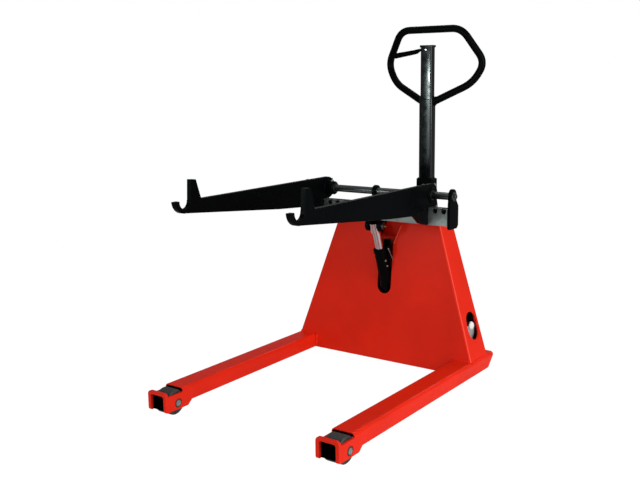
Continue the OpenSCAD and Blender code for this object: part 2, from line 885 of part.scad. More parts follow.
module arm_blade(s) {
    color(black) placed()
        difference() {
            side_plate(s * arm_x - arm_t / 2, s * arm_x + arm_t / 2) arm_outline();
            rod_x(s * arm_x - 20, s * arm_x + 20, shaft_y, shaft_z, hub_d + 2 * seam);
        }
}

module arm_hub(s) {
    x0 = s * (arm_x + arm_t / 2 + hub_out);
    color(black) placed()
        translate([x0, shaft_y, shaft_z])
            rotate([0, -s * 90, 0])
                rotate_extrude()
                    polygon([
                        [bush_d / 2 + fit, 0], [hub_d / 2 - 2, 0], [hub_d / 2, 2],
                        [hub_d / 2, hub_out + arm_t + hub_in - 4], [hub_d / 2 - 4, hub_out + arm_t + hub_in],
                        [bush_d / 2 + fit, hub_out + arm_t + hub_in]
                    ]);
}

module arm_bush(s) {
    x_out = arm_x + arm_t / 2 + hub_out + 0.8;
    x_in = arm_x - arm_t / 2 - hub_in - 0.8;
    color("#b08a45") placed()
        ring_x(s > 0 ? x_in : -x_out, s > 0 ? x_out : -x_in, shaft_y, shaft_z, bush_d, shaft_d + 2 * fit);
}

module arm_left() { arm_blade(-1); }
module arm_right() { arm_blade(1); }
module arm_hub_left() { arm_hub(-1); }
module arm_hub_right() { arm_hub(1); }
module arm_bush_left() { arm_bush(-1); }
module arm_bush_right() { arm_bush(1); }

// Lifting ram, drawn standing on its foot shaft and then leaned forward

module leaned() {
    placed()
        translate([0, ram_foot_back, ram_foot_z])
            rotate([ram_lean, 0, 0])
                children();
}

bore_d = barrel_d - 2 * barrel_wall;
module ram_barrel() {
    color(black) leaned()
        difference() {
            union() {
                translate([0, 0, 28]) cylinder(h = ram_body_l - 18 - 28, d = barrel_d);
                // Port for the hose
                translate([0, 0, 42 / cos(ram_lean)]) rotate([0, 90, 0]) cylinder(h = barrel_d / 2 + 9, d = 20);
            }
            translate([0, 0, 40]) cylinder(h = ram_body_l, d = bore_d);
        }
}

module ram_gland() {
    color(black) leaned()
        translate([0, 0, ram_body_l - 18])
            rotate_extrude()
                polygon([
                    [rod_d / 2 + fit, seam], [barrel_d / 2 + 2, seam], [barrel_d / 2 + 2, 14],
                    [barrel_d / 2 - 2, 18], [rod_d / 2 + fit, 18]
                ]);
}

module port_block() {
    color(black) leaned()
        difference() {
            translate([-22, 5, 194]) cube([50, 38, 82]);
            translate([0, 0, 190]) cylinder(h = 100, d = barrel_d + 2 * seam);
            translate([0, 0, ram_body_l - 18]) cylinder(h = 100, d = barrel_d + 4 + 2 * seam);
            translate([0, 43, 276]) rotate([45, 0, 0]) cube([60, 12, 12], center = true);
        }
}

module ram_foot_eye() {
    color(black) leaned()
        difference() {
            union() {
                rotate([0, 90, 0]) cylinder(h = 46, d = 48, center = true);
                cylinder(h = 28 - seam, d = 40);
            }
            rotate([0, 90, 0]) cylinder(h = 60, d = ram_foot_d + 2 * fit, center = true);
        }
}

eye_r = ram_pin_d / 2 + ram_pin_play + 6;
module piston_rod() {
    color(steel) leaned() {
        translate([0, 0, 130]) cylinder(h = ram_l - eye_r - 2 - 130, d = rod_d);
        translate([0, 0, 130]) cylinder(h = 25, d = bore_d - 0.6);
    }
}

module rod_eye() {
    color(black) leaned()
        translate([0, 0, ram_l])
            difference() {
                union() {
                    rotate([0, 90, 0]) cylinder(h = 2 * eye_half_w, r = eye_r, center = true);
                    translate([0, 0, -eye_r - 2 + seam]) cylinder(h = 12, d = rod_d);
                }
                rotate([0, 90, 0]) cylinder(h = 60, d = ram_pin_d + 2 * ram_pin_play, center = true);
            }
}

// Steering unit with pump

module wheel_carrier() {
    color(dark) placed()
        translate([0, steer_back, 0])
            difference() {
                union() {
                    translate([0, 0, carrier_top - 18]) cylinder(h = 18, d = head_bore + 14);
                    side_plate(-wheel_gap / 2 + 2, wheel_gap / 2 - 2) union() {
                        translate([0, wheel_r]) circle(r = 26);
                        polygon([[-26, wheel_r], [26, wheel_r], [40, carrier_top - 10], [-40, carrier_top - 10]]);
                    }
                }
                rod_x(-60, 60, 0, wheel_r, wheel_axle_d + 0.1);
            }
}

module wheel_axle() {
    reach = wheel_gap / 2 + wheel_w + 5;
    color(steel) placed() {
        rod_x(-reach, reach, steer_back, wheel_r, wheel_axle_d);
        for (s = [-1, 1])
            ring_x(s > 0 ? reach - 4 : -reach, s > 0 ? reach : -reach + 4, steer_back, wheel_r, wheel_axle_d + 12, wheel_axle_d - 0.5);
    }
}

hub_r = wheel_r - 24;
module wheel_tyre(s) {
    color(dark) placed()
        translate([s * (wheel_gap + wheel_w) / 2, steer_back, wheel_r])
            rotate([0, 90, 0])
                rotate_extrude()
                    polygon([
                        [hub_r + seam / 2, -wheel_w / 2], [wheel_r - 5, -wheel_w / 2], [wheel_r, -wheel_w / 2 + 5],
                        [wheel_r, wheel_w / 2 - 5], [wheel_r - 5, wheel_w / 2], [hub_r + seam / 2, wheel_w / 2]
                    ]);
}

module wheel_hub(s) {
    w = wheel_w / 2 - 1;
    color(zinc) placed()
        translate([s * (wheel_gap + wheel_w) / 2, steer_back, wheel_r])
            rotate([0, 90, 0])
                rotate_extrude()
                    polygon([
                        [wheel_axle_d / 2 + fit, -w], [24, -w], [27, -8], [hub_r - 8, -8], [hub_r - 6, -w],
                        [hub_r, -w], [hub_r, w], [hub_r - 6, w], [hub_r - 8, 8], [27, 8], [24, w],
                        [wheel_axle_d / 2 + fit, w]
                    ]);
}

module wheel_tyre_left() { wheel_tyre(-1); }
module wheel_tyre_right() { wheel_tyre(1); }
module wheel_hub_left() { wheel_hub(-1); }
module wheel_hub_right() { wheel_hub(1); }

module steering_stem() {
    color(steel) placed()
        translate([0, steer_back, carrier_top]) cylinder(h = stem_top - carrier_top, d = stem_d);
}

module pump_ear_outline() {
    circle(r = yoke_r - 1);
    polygon([
        [-30, pump_top - tiller_pivot_z - 2], [8, pump_top - tiller_pivot_z - 2], [8, -15], [0, 0],
        [-yoke_r + 1, 0], [-30, -36]
    ]);
}

module pump_body() {
    color(dark) placed()
        difference() {
            union() {
                translate([0, steer_back, stem_top]) cylinder(h = 12, d = head_bore + 34);
                // Oil tank with the pump bore at the back
                translate([0, steer_back - 4, stem_top + 11])
                    linear_extrude(pump_top - stem_top - 11) round_rect(tank_w, tank_l, 18);
                translate([tank_w / 2 + 4, steer_back - 16, 448]) rotate([0, 90, 0]) cylinder(h = 18, d = 26, center = true);
                translate([0, steer_back, tiller_pivot_z])
                    for (s = [-1, 1])
                        side_plate(s > 0 ? ear_in : -ear_out, s > 0 ? ear_out : -ear_in) pump_ear_outline();
            }
            translate([0, plunger_y, 430]) cylinder(h = 80, d = plunger_d + 2 * fit);
            rod_x(-60, 60, steer_back, tiller_pivot_z, tiller_pin_d + 0.1);
        }
}

module tiller_pin() {
    reach = yoke_in + yoke_t + 1;
    color(steel) placed() {
        rod_x(-reach - 4, reach + 4, steer_back, tiller_pivot_z, tiller_pin_d);
        for (s = [-1, 1])
            ring_x(s > 0 ? reach : -reach - 3, s > 0 ? reach + 3 : -reach, steer_back, tiller_pivot_z, tiller_pin_d + 8, tiller_pin_d - 0.5);
    }
}

// Tiller

module tiller_yoke() {
    half_depth = tiller_depth / 2 + 3;
    color(black) placed()
        translate([0, steer_back, 0])
            difference() {
                union() {
                    for (s = [-1, 1])
                        side_plate(s > 0 ? yoke_in : -yoke_in - yoke_t, s > 0 ? yoke_in + yoke_t : -yoke_in) union() {
                            translate([0, tiller_pivot_z]) circle(r = yoke_r);
                            translate([cam_r * cos(cam_angle), tiller_pivot_z + cam_r * sin(cam_angle)]) circle(r = 9);
                            polygon([
                                [-yoke_r, tiller_pivot_z], [yoke_r, tiller_pivot_z], [28, tiller_pivot_z + 22],
                                [half_depth, tiller_pivot_z + 50], [half_depth, yoke_top],
                                [-half_depth, yoke_top], [-half_depth, tiller_pivot_z + 20]
                            ]);
                        }
                    // Web across the front and floor under the tube
                    translate([-yoke_in - yoke_t, -half_depth, tiller_pivot_z + 42])
                        cube([2 * (yoke_in + yoke_t), 3 - seam, yoke_top - tiller_pivot_z - 42]);
                    translate([-yoke_in - 1, -half_depth, tiller_pivot_z + 42])
                        cube([2 * yoke_in + 2, 2 * half_depth, yoke_t]);
                }
                rod_x(-60, 60, 0, tiller_pivot_z, tiller_pin_d + 2 * fit);
                rod_x(-60, 60, cam_r * cos(cam_angle), tiller_pivot_z + cam_r * sin(cam_angle), 9.2);
            }
}

module pumping_roller() {
    color(steel) placed()
        translate([0, steer_back + cam_r * cos(cam_angle), tiller_pivot_z + cam_r * sin(cam_angle)]) {
            rod_x(-yoke_in - yoke_t, yoke_in + yoke_t, 0, 0, 9);
            rod_x(-11, 11, 0, 0, cam_d);
        }
}

tube_low = tiller_pivot_z + 48 + seam;
module tiller_tube() {
    color(black) placed()
        translate([0, steer_back, tube_low])
            linear_extrude(tiller_tube_top - tube_low)
                difference() {
                    round_rect(tiller_w - 2 * seam, tiller_depth, 6);
                    round_rect(tiller_w - 2 * seam - 2 * tiller_wall, tiller_depth - 2 * tiller_wall, 3);
                }
}

module tiller_upper_tube() {
    color(black) placed()
        translate([0, steer_back, 0])
            difference() {
                union() {
                    translate([0, 0, tiller_tube_top + seam])
                        linear_extrude(5) round_rect(tiller_w, tiller_depth, 6);
                    translate([0, 0, tiller_tube_top + 4])
                        linear_extrude(upper_top - tiller_tube_top - 4) difference() {
                            round_rect(upper_w, upper_depth, 5);
                            round_rect(upper_w - 2 * tiller_wall, upper_depth - 2 * tiller_wall, 3);
                        }
                    translate([0, 0, upper_top - 1]) linear_extrude(8) round_rect(upper_w + 6, upper_depth + 6, 6);
                }
                // Window for the release lever
                translate([-upper_w / 2 - 4, -9, lever_z - lever_window])
                    cube([tiller_wall + 14, 18, 2 * lever_window]);
                translate([0, 0, lever_z]) rotate([90, 0, 0]) cylinder(h = 60, d = 8.2, center = true);
            }
}

module tiller_loop() {
    rise = loop_top - tiller_tube_top;
    half = [
        [tiller_w / 2 - 4, 6, tiller_tube_top - 10],
        [0.8 * loop_half, 0.78 * loop_bow, tiller_tube_top + 0.23 * rise],
        [loop_half, loop_bow, tiller_tube_top + 0.515 * rise],
        [0.62 * loop_half, 0.36 * loop_bow, loop_top]
    ];
    flip = [for (i = [len(half) - 1:-1:0]) [-half[i][0], half[i][1], half[i][2]]];
    color(black) placed()
        translate([0, steer_back, 0])
            difference() {
                tube_along(rounded_path(concat(half, flip), 0.19 * loop_half, 6), loop_d, 20);
                translate([0, 0, tiller_tube_top - 70])
                    linear_extrude(200) round_rect(tiller_w, tiller_depth + 1, 6);
            }
}

// Pump plunger with its return spring

module pump_plunger() {
    color(steel) placed()
        translate([0, plunger_y, 0]) {
            translate([0, 0, 470 - 2]) cylinder(h = plunger_top - 468, d = plunger_d);
            translate([0, 0, plunger_top - 8]) cylinder(h = 8, d = 25);
        }
}

module pump_spring() {
    wire = 3;
    turns = 5;
    low = pump_top + wire / 2 + 0.2;
    high = plunger_top - 8 - wire / 2 - 0.2;
    steps = turns * 14;
    path = [
        for (i = [0:steps])
            [(12.4 - wire / 2) * cos(360 * turns * i / steps), (12.4 - wire / 2) * sin(360 * turns * i / steps), low + (high - low) * i / steps]
    ];
    color(steel) placed() translate([0, plunger_y, 0]) tube_along(path, wire, 8);
}

// Release lever inside the loop

// Height of the lever along its length, seen from the front
module lever_side() {
    tip = 0.76 * loop_half;
    circle(r = 8);
    polygon([
        [4, 5], [-32, 5], [-60, 1], [4 - tip, -9], [-tip, -20], [6 - tip, -29],
        [-60, -16], [-44, -13], [-32, -5], [4, -5]
    ]);
}

module release_lever() {
    tip = 0.76 * loop_half;
    color(black) placed()
        translate([0, steer_back, lever_z])
            difference() {
                intersection() {
                    front_plate(-10, 40) lever_side();
                    translate([0, 0, -40])
                        linear_extrude(80)
                            polygon([[11, -3], [11, 3], [-40, 3], [8 - tip, 21], [-tip, 18], [2 - tip, 14], [-40, -3]]);
                }
                rotate([90, 0, 0]) cylinder(h = 20, d = 8 + 2 * fit, center = true);
            }
}

module lever_pin() {
    color(steel) placed()
        translate([0, steer_back, lever_z])
            rotate([90, 0, 0]) cylinder(h = upper_depth + 3, d = 8, center = true);
}

housing_shell();
rear_plate();
pivot_beam();
bottom_plate();
leg_left();
leg_right();
pivot_lugs();
pivot_shaft();
ram_foot_shaft();
foot_shaft_supports();
roller_axles();
axle_circlips();
steering_bracket();
head_bushings();
thrust_bearing();
hydraulic_hose();
frame_beam();
notched_bar();
end_bracket_left();
end_bracket_right();
centre_lug();
arm_shaft();
shaft_end_washers();
pivot_ears();
ram_lugs();
ram_pin();
arm_left();
arm_hub_left();
arm_bush_left();
arm_right();
arm_hub_right();
arm_bush_right();
ram_barrel();
ram_gland();
port_block();
ram_foot_eye();
piston_rod();
rod_eye();
roller_left();
roller_bearings_left();
roller_right();
roller_bearings_right();
pump_body();
steering_stem();
wheel_carrier();
wheel_axle();
tiller_pin();
wheel_tyre_left();
wheel_hub_left();
wheel_tyre_right();
wheel_hub_right();
tiller_yoke();
tiller_tube();
tiller_upper_tube();
tiller_loop();
pumping_roller();
pump_plunger();
pump_spring();
release_lever();
lever_pin();
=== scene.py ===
import json
from math import cos, radians, sin, tau

import bmesh
import bpy
from mathutils import Matrix, Vector

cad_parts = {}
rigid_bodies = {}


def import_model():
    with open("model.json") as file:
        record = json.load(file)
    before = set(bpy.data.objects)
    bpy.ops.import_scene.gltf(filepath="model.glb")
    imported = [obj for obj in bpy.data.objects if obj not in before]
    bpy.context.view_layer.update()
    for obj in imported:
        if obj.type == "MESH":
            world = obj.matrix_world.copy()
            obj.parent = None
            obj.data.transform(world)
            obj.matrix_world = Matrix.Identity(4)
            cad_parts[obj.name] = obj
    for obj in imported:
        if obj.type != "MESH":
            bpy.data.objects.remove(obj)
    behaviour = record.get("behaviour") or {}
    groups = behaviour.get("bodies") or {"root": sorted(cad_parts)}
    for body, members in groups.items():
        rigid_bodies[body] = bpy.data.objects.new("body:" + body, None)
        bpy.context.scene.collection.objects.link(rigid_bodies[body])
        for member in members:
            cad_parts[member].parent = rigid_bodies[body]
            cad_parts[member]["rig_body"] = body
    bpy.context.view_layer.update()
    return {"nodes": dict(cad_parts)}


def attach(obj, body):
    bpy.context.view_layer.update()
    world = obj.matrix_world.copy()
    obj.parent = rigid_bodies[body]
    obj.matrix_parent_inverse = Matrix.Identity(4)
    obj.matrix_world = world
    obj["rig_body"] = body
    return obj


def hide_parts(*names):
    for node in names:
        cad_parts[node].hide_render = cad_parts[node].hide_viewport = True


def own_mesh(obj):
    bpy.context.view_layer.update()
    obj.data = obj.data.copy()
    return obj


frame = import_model()

# Camera: it stands off the front right corner a little over a metre up and looks down the truck.
# Its place, tilt and lens are those that the photograph's straight edges lead to.
lens = bpy.data.cameras.new("studio_camera")
lens.lens = 49.82
lens.sensor_width = 36
camera = bpy.data.objects.new("studio_camera", lens)
bpy.context.scene.collection.objects.link(camera)
camera.matrix_world = (
    Matrix.Translation((1.6571, -2.4627, 1.060))
    @ Matrix.Rotation(radians(35.999), 4, "Z")
    @ Matrix.Rotation(radians(90 - 10.778), 4, "X")
    @ Matrix.Rotation(radians(-0.811), 4, "Z")
)
bpy.context.scene.camera = camera

# Studio: a pale floor that runs out into a white room, a large soft lamp on the right, weaker ones
# in front and above, and a long strip behind that draws the edges of the black parts.
world = bpy.data.worlds.new("white_room")
bpy.context.scene.world = world
world.use_nodes = True
sky = world.node_tree
sky.nodes.clear()
seen = sky.nodes.new("ShaderNodeLightPath")
bright = sky.nodes.new("ShaderNodeBackground")
bright.inputs["Color"].default_value = (1, 1, 1, 1)
bright.inputs["Strength"].default_value = 1.0
soft = sky.nodes.new("ShaderNodeBackground")
soft.inputs["Color"].default_value = (0.97, 0.98, 1.0, 1)
soft.inputs["Strength"].default_value = 0.22
either = sky.nodes.new("ShaderNodeMixShader")
room = sky.nodes.new("ShaderNodeOutputWorld")
sky.links.new(seen.outputs["Is Camera Ray"], either.inputs["Fac"])
sky.links.new(soft.outputs[0], either.inputs[1])
sky.links.new(bright.outputs[0], either.inputs[2])
sky.links.new(either.outputs[0], room.inputs["Surface"])

floor_mesh = bpy.data.meshes.new("floor")
reach, under = 4, -0.0004
floor_corners = [(x * reach, y * reach, under) for x, y in ((-1, -1), (1, -1), (1, 1), (-1, 1))]
floor_mesh.from_pydata(floor_corners, [], [(0, 1, 2, 3)])
floor = bpy.data.objects.new("floor", floor_mesh)
bpy.context.scene.collection.objects.link(floor)
pale = bpy.data.materials.new("pale_floor")
pale.use_nodes = True
tree = pale.node_tree
tree.nodes.clear()
matt = tree.nodes.new("ShaderNodeBsdfDiffuse")
matt.inputs["Color"].default_value = (0.80, 0.80, 0.80, 1)
lift = tree.nodes.new("ShaderNodeEmission")
lift.inputs["Color"].default_value = (1, 1, 1, 1)
lift.inputs["Strength"].default_value = 1.14
ray = tree.nodes.new("ShaderNodeLightPath")
share = tree.nodes.new("ShaderNodeMath")
share.operation = "MULTIPLY"
share.inputs[1].default_value = 0.86
both = tree.nodes.new("ShaderNodeMixShader")
# Beyond the truck the floor thins out into the white room, so no edge of it shows.
spot = tree.nodes.new("ShaderNodeTexCoord")
middle = tree.nodes.new("ShaderNodeVectorMath")
middle.operation = "LENGTH"
fade = tree.nodes.new("ShaderNodeMapRange")
fade.interpolation_type = "SMOOTHSTEP"
fade.inputs["From Min"].default_value = 1.0
fade.inputs["From Max"].default_value = 2.6
through = tree.nodes.new("ShaderNodeBsdfTransparent")
thinned = tree.nodes.new("ShaderNodeMixShader")
out = tree.nodes.new("ShaderNodeOutputMaterial")
tree.links.new(ray.outputs["Is Camera Ray"], share.inputs[0])
tree.links.new(share.outputs[0], both.inputs["Fac"])
tree.links.new(matt.outputs[0], both.inputs[1])
tree.links.new(lift.outputs[0], both.inputs[2])
tree.links.new(spot.outputs["Object"], middle.inputs[0])
tree.links.new(middle.outputs["Value"], fade.inputs["Value"])
tree.links.new(fade.outputs["Result"], thinned.inputs["Fac"])
tree.links.new(both.outputs[0], thinned.inputs[1])
tree.links.new(through.outputs[0], thinned.inputs[2])
tree.links.new(thinned.outputs[0], out.inputs["Surface"])
floor_mesh.materials.append(pale)

# Each lamp: its name, place, what it is aimed at, width, height, watts and colour. The two small
# ones draw the long glint on the tiller.
white, teal = (1, 1, 1), (0.80, 1.0, 0.98)
lamps = [
    ("lamp_right", (3.4, -0.5, 1.6), (0.2, 0.1, 0.4), 2.0, 2.0, 82, white),
    ("lamp_side", (3.2, 0.5, 0.5), (0.3, -0.3, 0.1), 1.3, 0.9, 12, white),
    ("lamp_front", (0.3, -3.5, 1.1), (0, 0, 0.35), 2.4, 1.4, 25, white),
    ("lamp_tiller", (-1.37, -2.55, 1.01), (0, 0.5, 1.05), 0.16, 0.12, 8.5, teal),
    ("lamp_tiller_low", (-1.37, -2.55, 0.66), (0, 0.5, 0.9), 0.16, 0.40, 1.2, teal),
    ("lamp_top", (-0.3, 0.3, 3.2), (0, 0, 0.4), 2.2, 2.2, 10, white),
    ("strip_behind", (-0.4, 2.8, 2.1), (0, 0, 0.6), 2.0, 0.3, 12, white),
]
for name, place, aim, wide, high, watts, colour in lamps:
    lamp = bpy.data.lights.new(name, "AREA")
    lamp.shape = "RECTANGLE"
    lamp.size, lamp.size_y, lamp.energy, lamp.color = wide, high, watts, colour
    holder = bpy.data.objects.new(name, lamp)
    bpy.context.scene.collection.objects.link(holder)
    holder.location = place
    holder.rotation_euler = (Vector(aim) - Vector(place)).to_track_quat("-Z", "Y").to_euler()
bpy.context.scene.view_settings.view_transform = "Standard"

# Legs: a folded steel cover with round long edges, open below, with cheeks welded on at the front
# for the roller. Sprayed red-orange over the whole weldment, so the coat is one skin with its peel.
class Shades:
    """A material's nodes, laid out one after another."""

    def __init__(self, name):
        self.material = bpy.data.materials.new(name)
        self.material.use_nodes = True
        self.tree = self.material.node_tree
        self.shader = self.tree.nodes["Principled BSDF"]
        self.place = self.node("ShaderNodeTexCoord").outputs["Object"]
        self.coat = None
        self.skin = None

    def node(self, kind, **values):
        made = self.tree.nodes.new(kind)
        for key, value in values.items():
            setattr(made, key, value)
        return made

    def link(self, source, target):
        self.tree.links.new(source, target)

    def stretched(self, scale):
        """The place on the piece with each axis scaled by itself."""
        mapping = self.node("ShaderNodeMapping")
        mapping.inputs["Scale"].default_value = scale
        self.link(self.place, mapping.inputs["Vector"])
        return mapping.outputs["Vector"]

    def noise(self, scale, detail=2.0, roughness=0.5, where=None):
        made = self.node("ShaderNodeTexNoise")
        made.inputs["Scale"].default_value = scale
        made.inputs["Detail"].default_value = detail
        made.inputs["Roughness"].default_value = roughness
        self.link(where or self.place, made.inputs["Vector"])
        return made.outputs["Fac"]

    def ranged(self, value, low, high, to_low=0.0, to_high=1.0):
        made = self.node("ShaderNodeMapRange")
        for key, number in zip(("From Min", "From Max", "To Min", "To Max"), (low, high, to_low, to_high)):
            made.inputs[key].default_value = number
        self.link(value, made.inputs["Value"])
        return made.outputs["Result"]

    def maths(self, operation, *values):
        made = self.node("ShaderNodeMath", operation=operation)
        for socket, value in zip(made.inputs, values):
            if hasattr(value, "is_output"):
                self.link(value, socket)
            else:
                socket.default_value = value
        return made.outputs[0]

    def times(self, a, b):
        return self.maths("MULTIPLY", a, b)

    def axes(self, vector):
        made = self.node("ShaderNodeSeparateXYZ")
        self.link(vector, made.inputs[0])
        return made.outputs

    def colours(self, factor, dark, light):
        made = self.node("ShaderNodeMix", data_type="RGBA")
        self.link(factor, made.inputs["Factor"])
        for socket, colour in ((made.inputs[6], dark), (made.inputs[7], light)):
            if hasattr(colour, "is_output"):
                self.link(colour, socket)
            else:
                socket.default_value = (*colour, 1)
        return made.outputs[2]

    def over(self, factor, colour):
        """Lays a colour over the coat where the factor is 1."""
        self.coat = self.colours(factor, self.coat, colour)
        self.link(self.coat, self.shader.inputs["Base Color"])

    def edges(self, radius, low, high):
        """1 on the corners of the piece and 0 on its faces."""
        rounded = self.node("ShaderNodeBevel", samples=4)
        rounded.inputs["Radius"].default_value = radius
        true = self.node("ShaderNodeNewGeometry")
        dot = self.node("ShaderNodeVectorMath", operation="DOT_PRODUCT")
        self.link(rounded.outputs[0], dot.inputs[0])
        self.link(true.outputs["Normal"], dot.inputs[1])
        return self.ranged(dot.outputs["Value"], high, low)

    def bump(self, height, distance, strength=1.0, below=None):
        made = self.node("ShaderNodeBump")
        made.inputs["Strength"].default_value = strength
        made.inputs["Distance"].default_value = distance
        self.link(height, made.inputs["Height"])
        if below:
            self.link(below, made.inputs["Normal"])
        self.link(made.outputs["Normal"], self.shader.inputs["Normal"])
        return made.outputs["Normal"]


def sprayed(name, colour, roughness, peel, edge_colour, edge_share, gloss):
    """Powder coat: a fine orange peel, slow drift of shade, and thin rubbed spots on the corners."""
    m = Shades(name)
    darker, lighter = [c * 0.9 for c in colour], [min(1, c * 1.08) for c in colour]
    m.coat = m.colours(m.ranged(m.noise(5.0, 3.0), 0.3, 0.7), darker, lighter)
    spots = m.ranged(m.noise(60, 4, 0.65), 0.48, 0.66, 0, edge_share)
    m.over(m.times(m.edges(0.0022, 0.80, 0.97), spots), edge_colour)
    uneven = m.ranged(m.noise(38, 4, 0.6), 0.3, 0.7, roughness - 0.05, roughness + 0.07)
    m.link(uneven, m.shader.inputs["Roughness"])
    m.skin = m.bump(m.noise(520, 2, 0.55), peel)
    m.shader.inputs["Specular IOR Level"].default_value = gloss
    return m


def working(mesh):
    """An object of the mesh, linked so that its modifiers can be worked out."""
    work = bpy.data.objects.new("work", mesh)
    bpy.context.scene.collection.objects.link(work)
    return work


def worked_out(work):
    """The plain mesh that an object's modifiers make, in the object's place."""
    mesh = bpy.data.meshes.new_from_object(work.evaluated_get(bpy.context.evaluated_depsgraph_get()))
    bpy.data.objects.remove(work)
    return mesh


def as_mesh(shape, name):
    mesh = bpy.data.meshes.new(name)
    shape.to_mesh(mesh)
    shape.free()
    return mesh


def broken(work, width, segments=2, sharp=40, clamp=True):
    """Breaks the corners of a piece by a small radius in millimetres."""
    edge = work.modifiers.new("edge", "BEVEL")
    edge.width, edge.segments, edge.angle_limit = width / 1000, segments, radians(sharp)
    edge.use_clamp_overlap = clamp
    edge.harden_normals = False


def plain(work, name, finish, sharp=32):
    """A plain mesh of the object with its modifiers in it, smooth but for its sharp edges."""
    mesh = worked_out(work)
    mesh.name = name
    mesh.materials.clear()
    mesh.materials.append(finish)
    mesh.shade_smooth()
    mesh.set_sharp_from_angle(angle=radians(sharp))
    piece = bpy.data.objects.new(name, mesh)
    bpy.context.scene.collection.objects.link(piece)
    even = piece.modifiers.new("even", "WEIGHTED_NORMAL")
    even.keep_sharp = True
    graph = bpy.context.evaluated_depsgraph_get()
    weighted = bpy.data.meshes.new_from_object(piece.evaluated_get(graph))
    piece.modifiers.clear()
    piece.data = weighted
    weighted.name = name
    return piece


def settle(work, node, finish, sharp=32):
    """Turns a worked-up object into the plain mesh that stands for its node and rides with it."""
    piece = plain(work, "made_" + node, finish, sharp)
    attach(piece, frame["nodes"][node]["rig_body"])
    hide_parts(node)
    return piece


def edged(node, width, finish, segments=2, sharp=32):
    """The node's solid with its corners merged and broken by a small radius, in its finish."""
    solid = bmesh.new()
    solid.from_mesh(frame["nodes"][node].data)
    bmesh.ops.remove_doubles(solid, verts=solid.verts, dist=2e-6)
    bmesh.ops.dissolve_limit(solid, angle_limit=radians(0.4), verts=solid.verts, edges=solid.edges)
    work = working(as_mesh(solid, "made_" + node))
    broken(work, width, segments, sharp, clamp=False)
    return settle(work, node, finish, sharp)


red, rubbed_red = (0.80, 0.0205, 0.0055), (0.92, 0.11, 0.06)
red_coat = sprayed("red_orange_coat", red, 0.34, 0.00008, rubbed_red, 0.6, 0.10).material
for node in ("leg_left", "leg_right"):
    edged(node, 1.6, red_coat, segments=3)

# Load rollers: turned black polyamide on two ball bearings, a zinc-plated pin through both cheeks,
# held at each end by an external ring in a groove.
def moulded(name, colour, roughness, grain, depth):
    """Plastic or rubber with a fine moulded grain and paler scuffs."""
    m = Shades(name)
    scuffs = m.ranged(m.noise(45, 5, 0.7), 0.52, 0.75, 0, 0.35)
    m.link(m.colours(scuffs, colour, [c * 1.9 + 0.02 for c in colour]), m.shader.inputs["Base Color"])
    uneven = m.ranged(m.noise(25, 3), 0.3, 0.7, roughness - 0.07, roughness + 0.08)
    m.link(uneven, m.shader.inputs["Roughness"])
    m.bump(m.noise(grain, 2), depth)
    return m.material


def bare(name, colour, roughness, lay, depth=0.00003, metallic=1.0, shade=0.82):
    """Bare or plated metal with the fine lines that its tool left, crowded along one axis."""
    m = Shades(name)
    lines = m.noise(1.0, 3, 0.6, m.stretched(lay))
    clouds = m.ranged(m.noise(14, 4, 0.6), 0.3, 0.7)
    m.link(m.colours(clouds, [c * shade for c in colour], colour), m.shader.inputs["Base Color"])
    m.link(m.ranged(lines, 0.3, 0.7, roughness - 0.06, roughness + 0.10), m.shader.inputs["Roughness"])
    m.bump(lines, depth)
    m.shader.inputs["Metallic"].default_value = metallic
    return m.material


roller_black = moulded("roller_black", (0.030, 0.033, 0.033), 0.50, 700, 0.00004)
bearing_steel = bare("bearing_steel", (0.66, 0.67, 0.68), 0.28, (2400, 90, 90))
zinc = bare("zinc_plate", (0.46, 0.51, 0.49), 0.38, (260, 260, 260), 0.00002, shade=0.5)
spring_dark = bare("oiled_spring_steel", (0.10, 0.10, 0.105), 0.38, (300, 300, 300))
for side in ("left", "right"):
    edged("roller_" + side, 0.8, roller_black)
    edged("roller_bearings_" + side, 0.4, bearing_steel)
edged("roller_axles", 0.8, zinc)
edged("axle_circlips", 0.2, spring_dark)

# Housing: one plate folded round the front and both sides, with the ram's slot and a hand hole in
# each side. A rear plate, a channel across and a bottom plate are welded inside it.
folded = sprayed("red_orange_coat_with_painted_light", red, 0.34, 0.00008, rubbed_red, 0.6, 0.10)
# The coat is painted lighter along the upright folds, as a painted highlight
normal = folded.axes(folded.node("ShaderNodeNewGeometry").outputs["Normal"])
crossed = folded.maths("ABSOLUTE", folded.times(normal["X"], normal["Y"]))
folded.over(folded.ranged(crossed, 0.42, 0.48), (1.0, 0.12, 0.075))


def beyond(m, direction, distance, blur=0.0005):
    """1 on the far side of a plane at that distance along the direction, in metres."""
    dot = m.node("ShaderNodeVectorMath", operation="DOT_PRODUCT")
    m.link(m.place, dot.inputs[0])
    dot.inputs[1].default_value = direction
    return m.ranged(dot.outputs["Value"], distance, distance + blur)


# Deep inside, between the front, the rear plate and the sides, the coat is darkened nearly to black as
# painted shade
behind_front, before_rear, within_sides, below_brow = 0.1779, -0.3035, -0.3865, -0.49
painted_shade_inside = beyond(folded, (0, 1, -0.109), behind_front)
painted_shade_inside = folded.times(painted_shade_inside, beyond(folded, (0, -1, 0), before_rear))
for s in (-1, 1):
    painted_shade_inside = folded.times(painted_shade_inside, beyond(folded, (s, 0, -0.3333), within_sides))
painted_shade_inside = folded.times(painted_shade_inside, beyond(folded, (0, 0, -1), below_brow, 0.06))
folded.over(painted_shade_inside, (0.006, 0.005, 0.005))
folded_coat = folded.material
edged("housing_shell", 1.3, folded_coat)
for node in ("rear_plate", "pivot_beam", "bottom_plate", "pivot_lugs"):
    edged(node, 0.8, folded_coat)
turned = bare("turned_steel", (0.74, 0.75, 0.76), 0.24, (2600, 60, 60))
edged("pivot_shaft", 0.8, turned)
edged("ram_foot_shaft", 1.5, turned)
galvanised = bare("galvanised_plate", (0.50, 0.48, 0.47), 0.55, (120, 120, 120), 0.00003, 0.3)
edged("foot_shaft_supports", 0.8, galvanised)

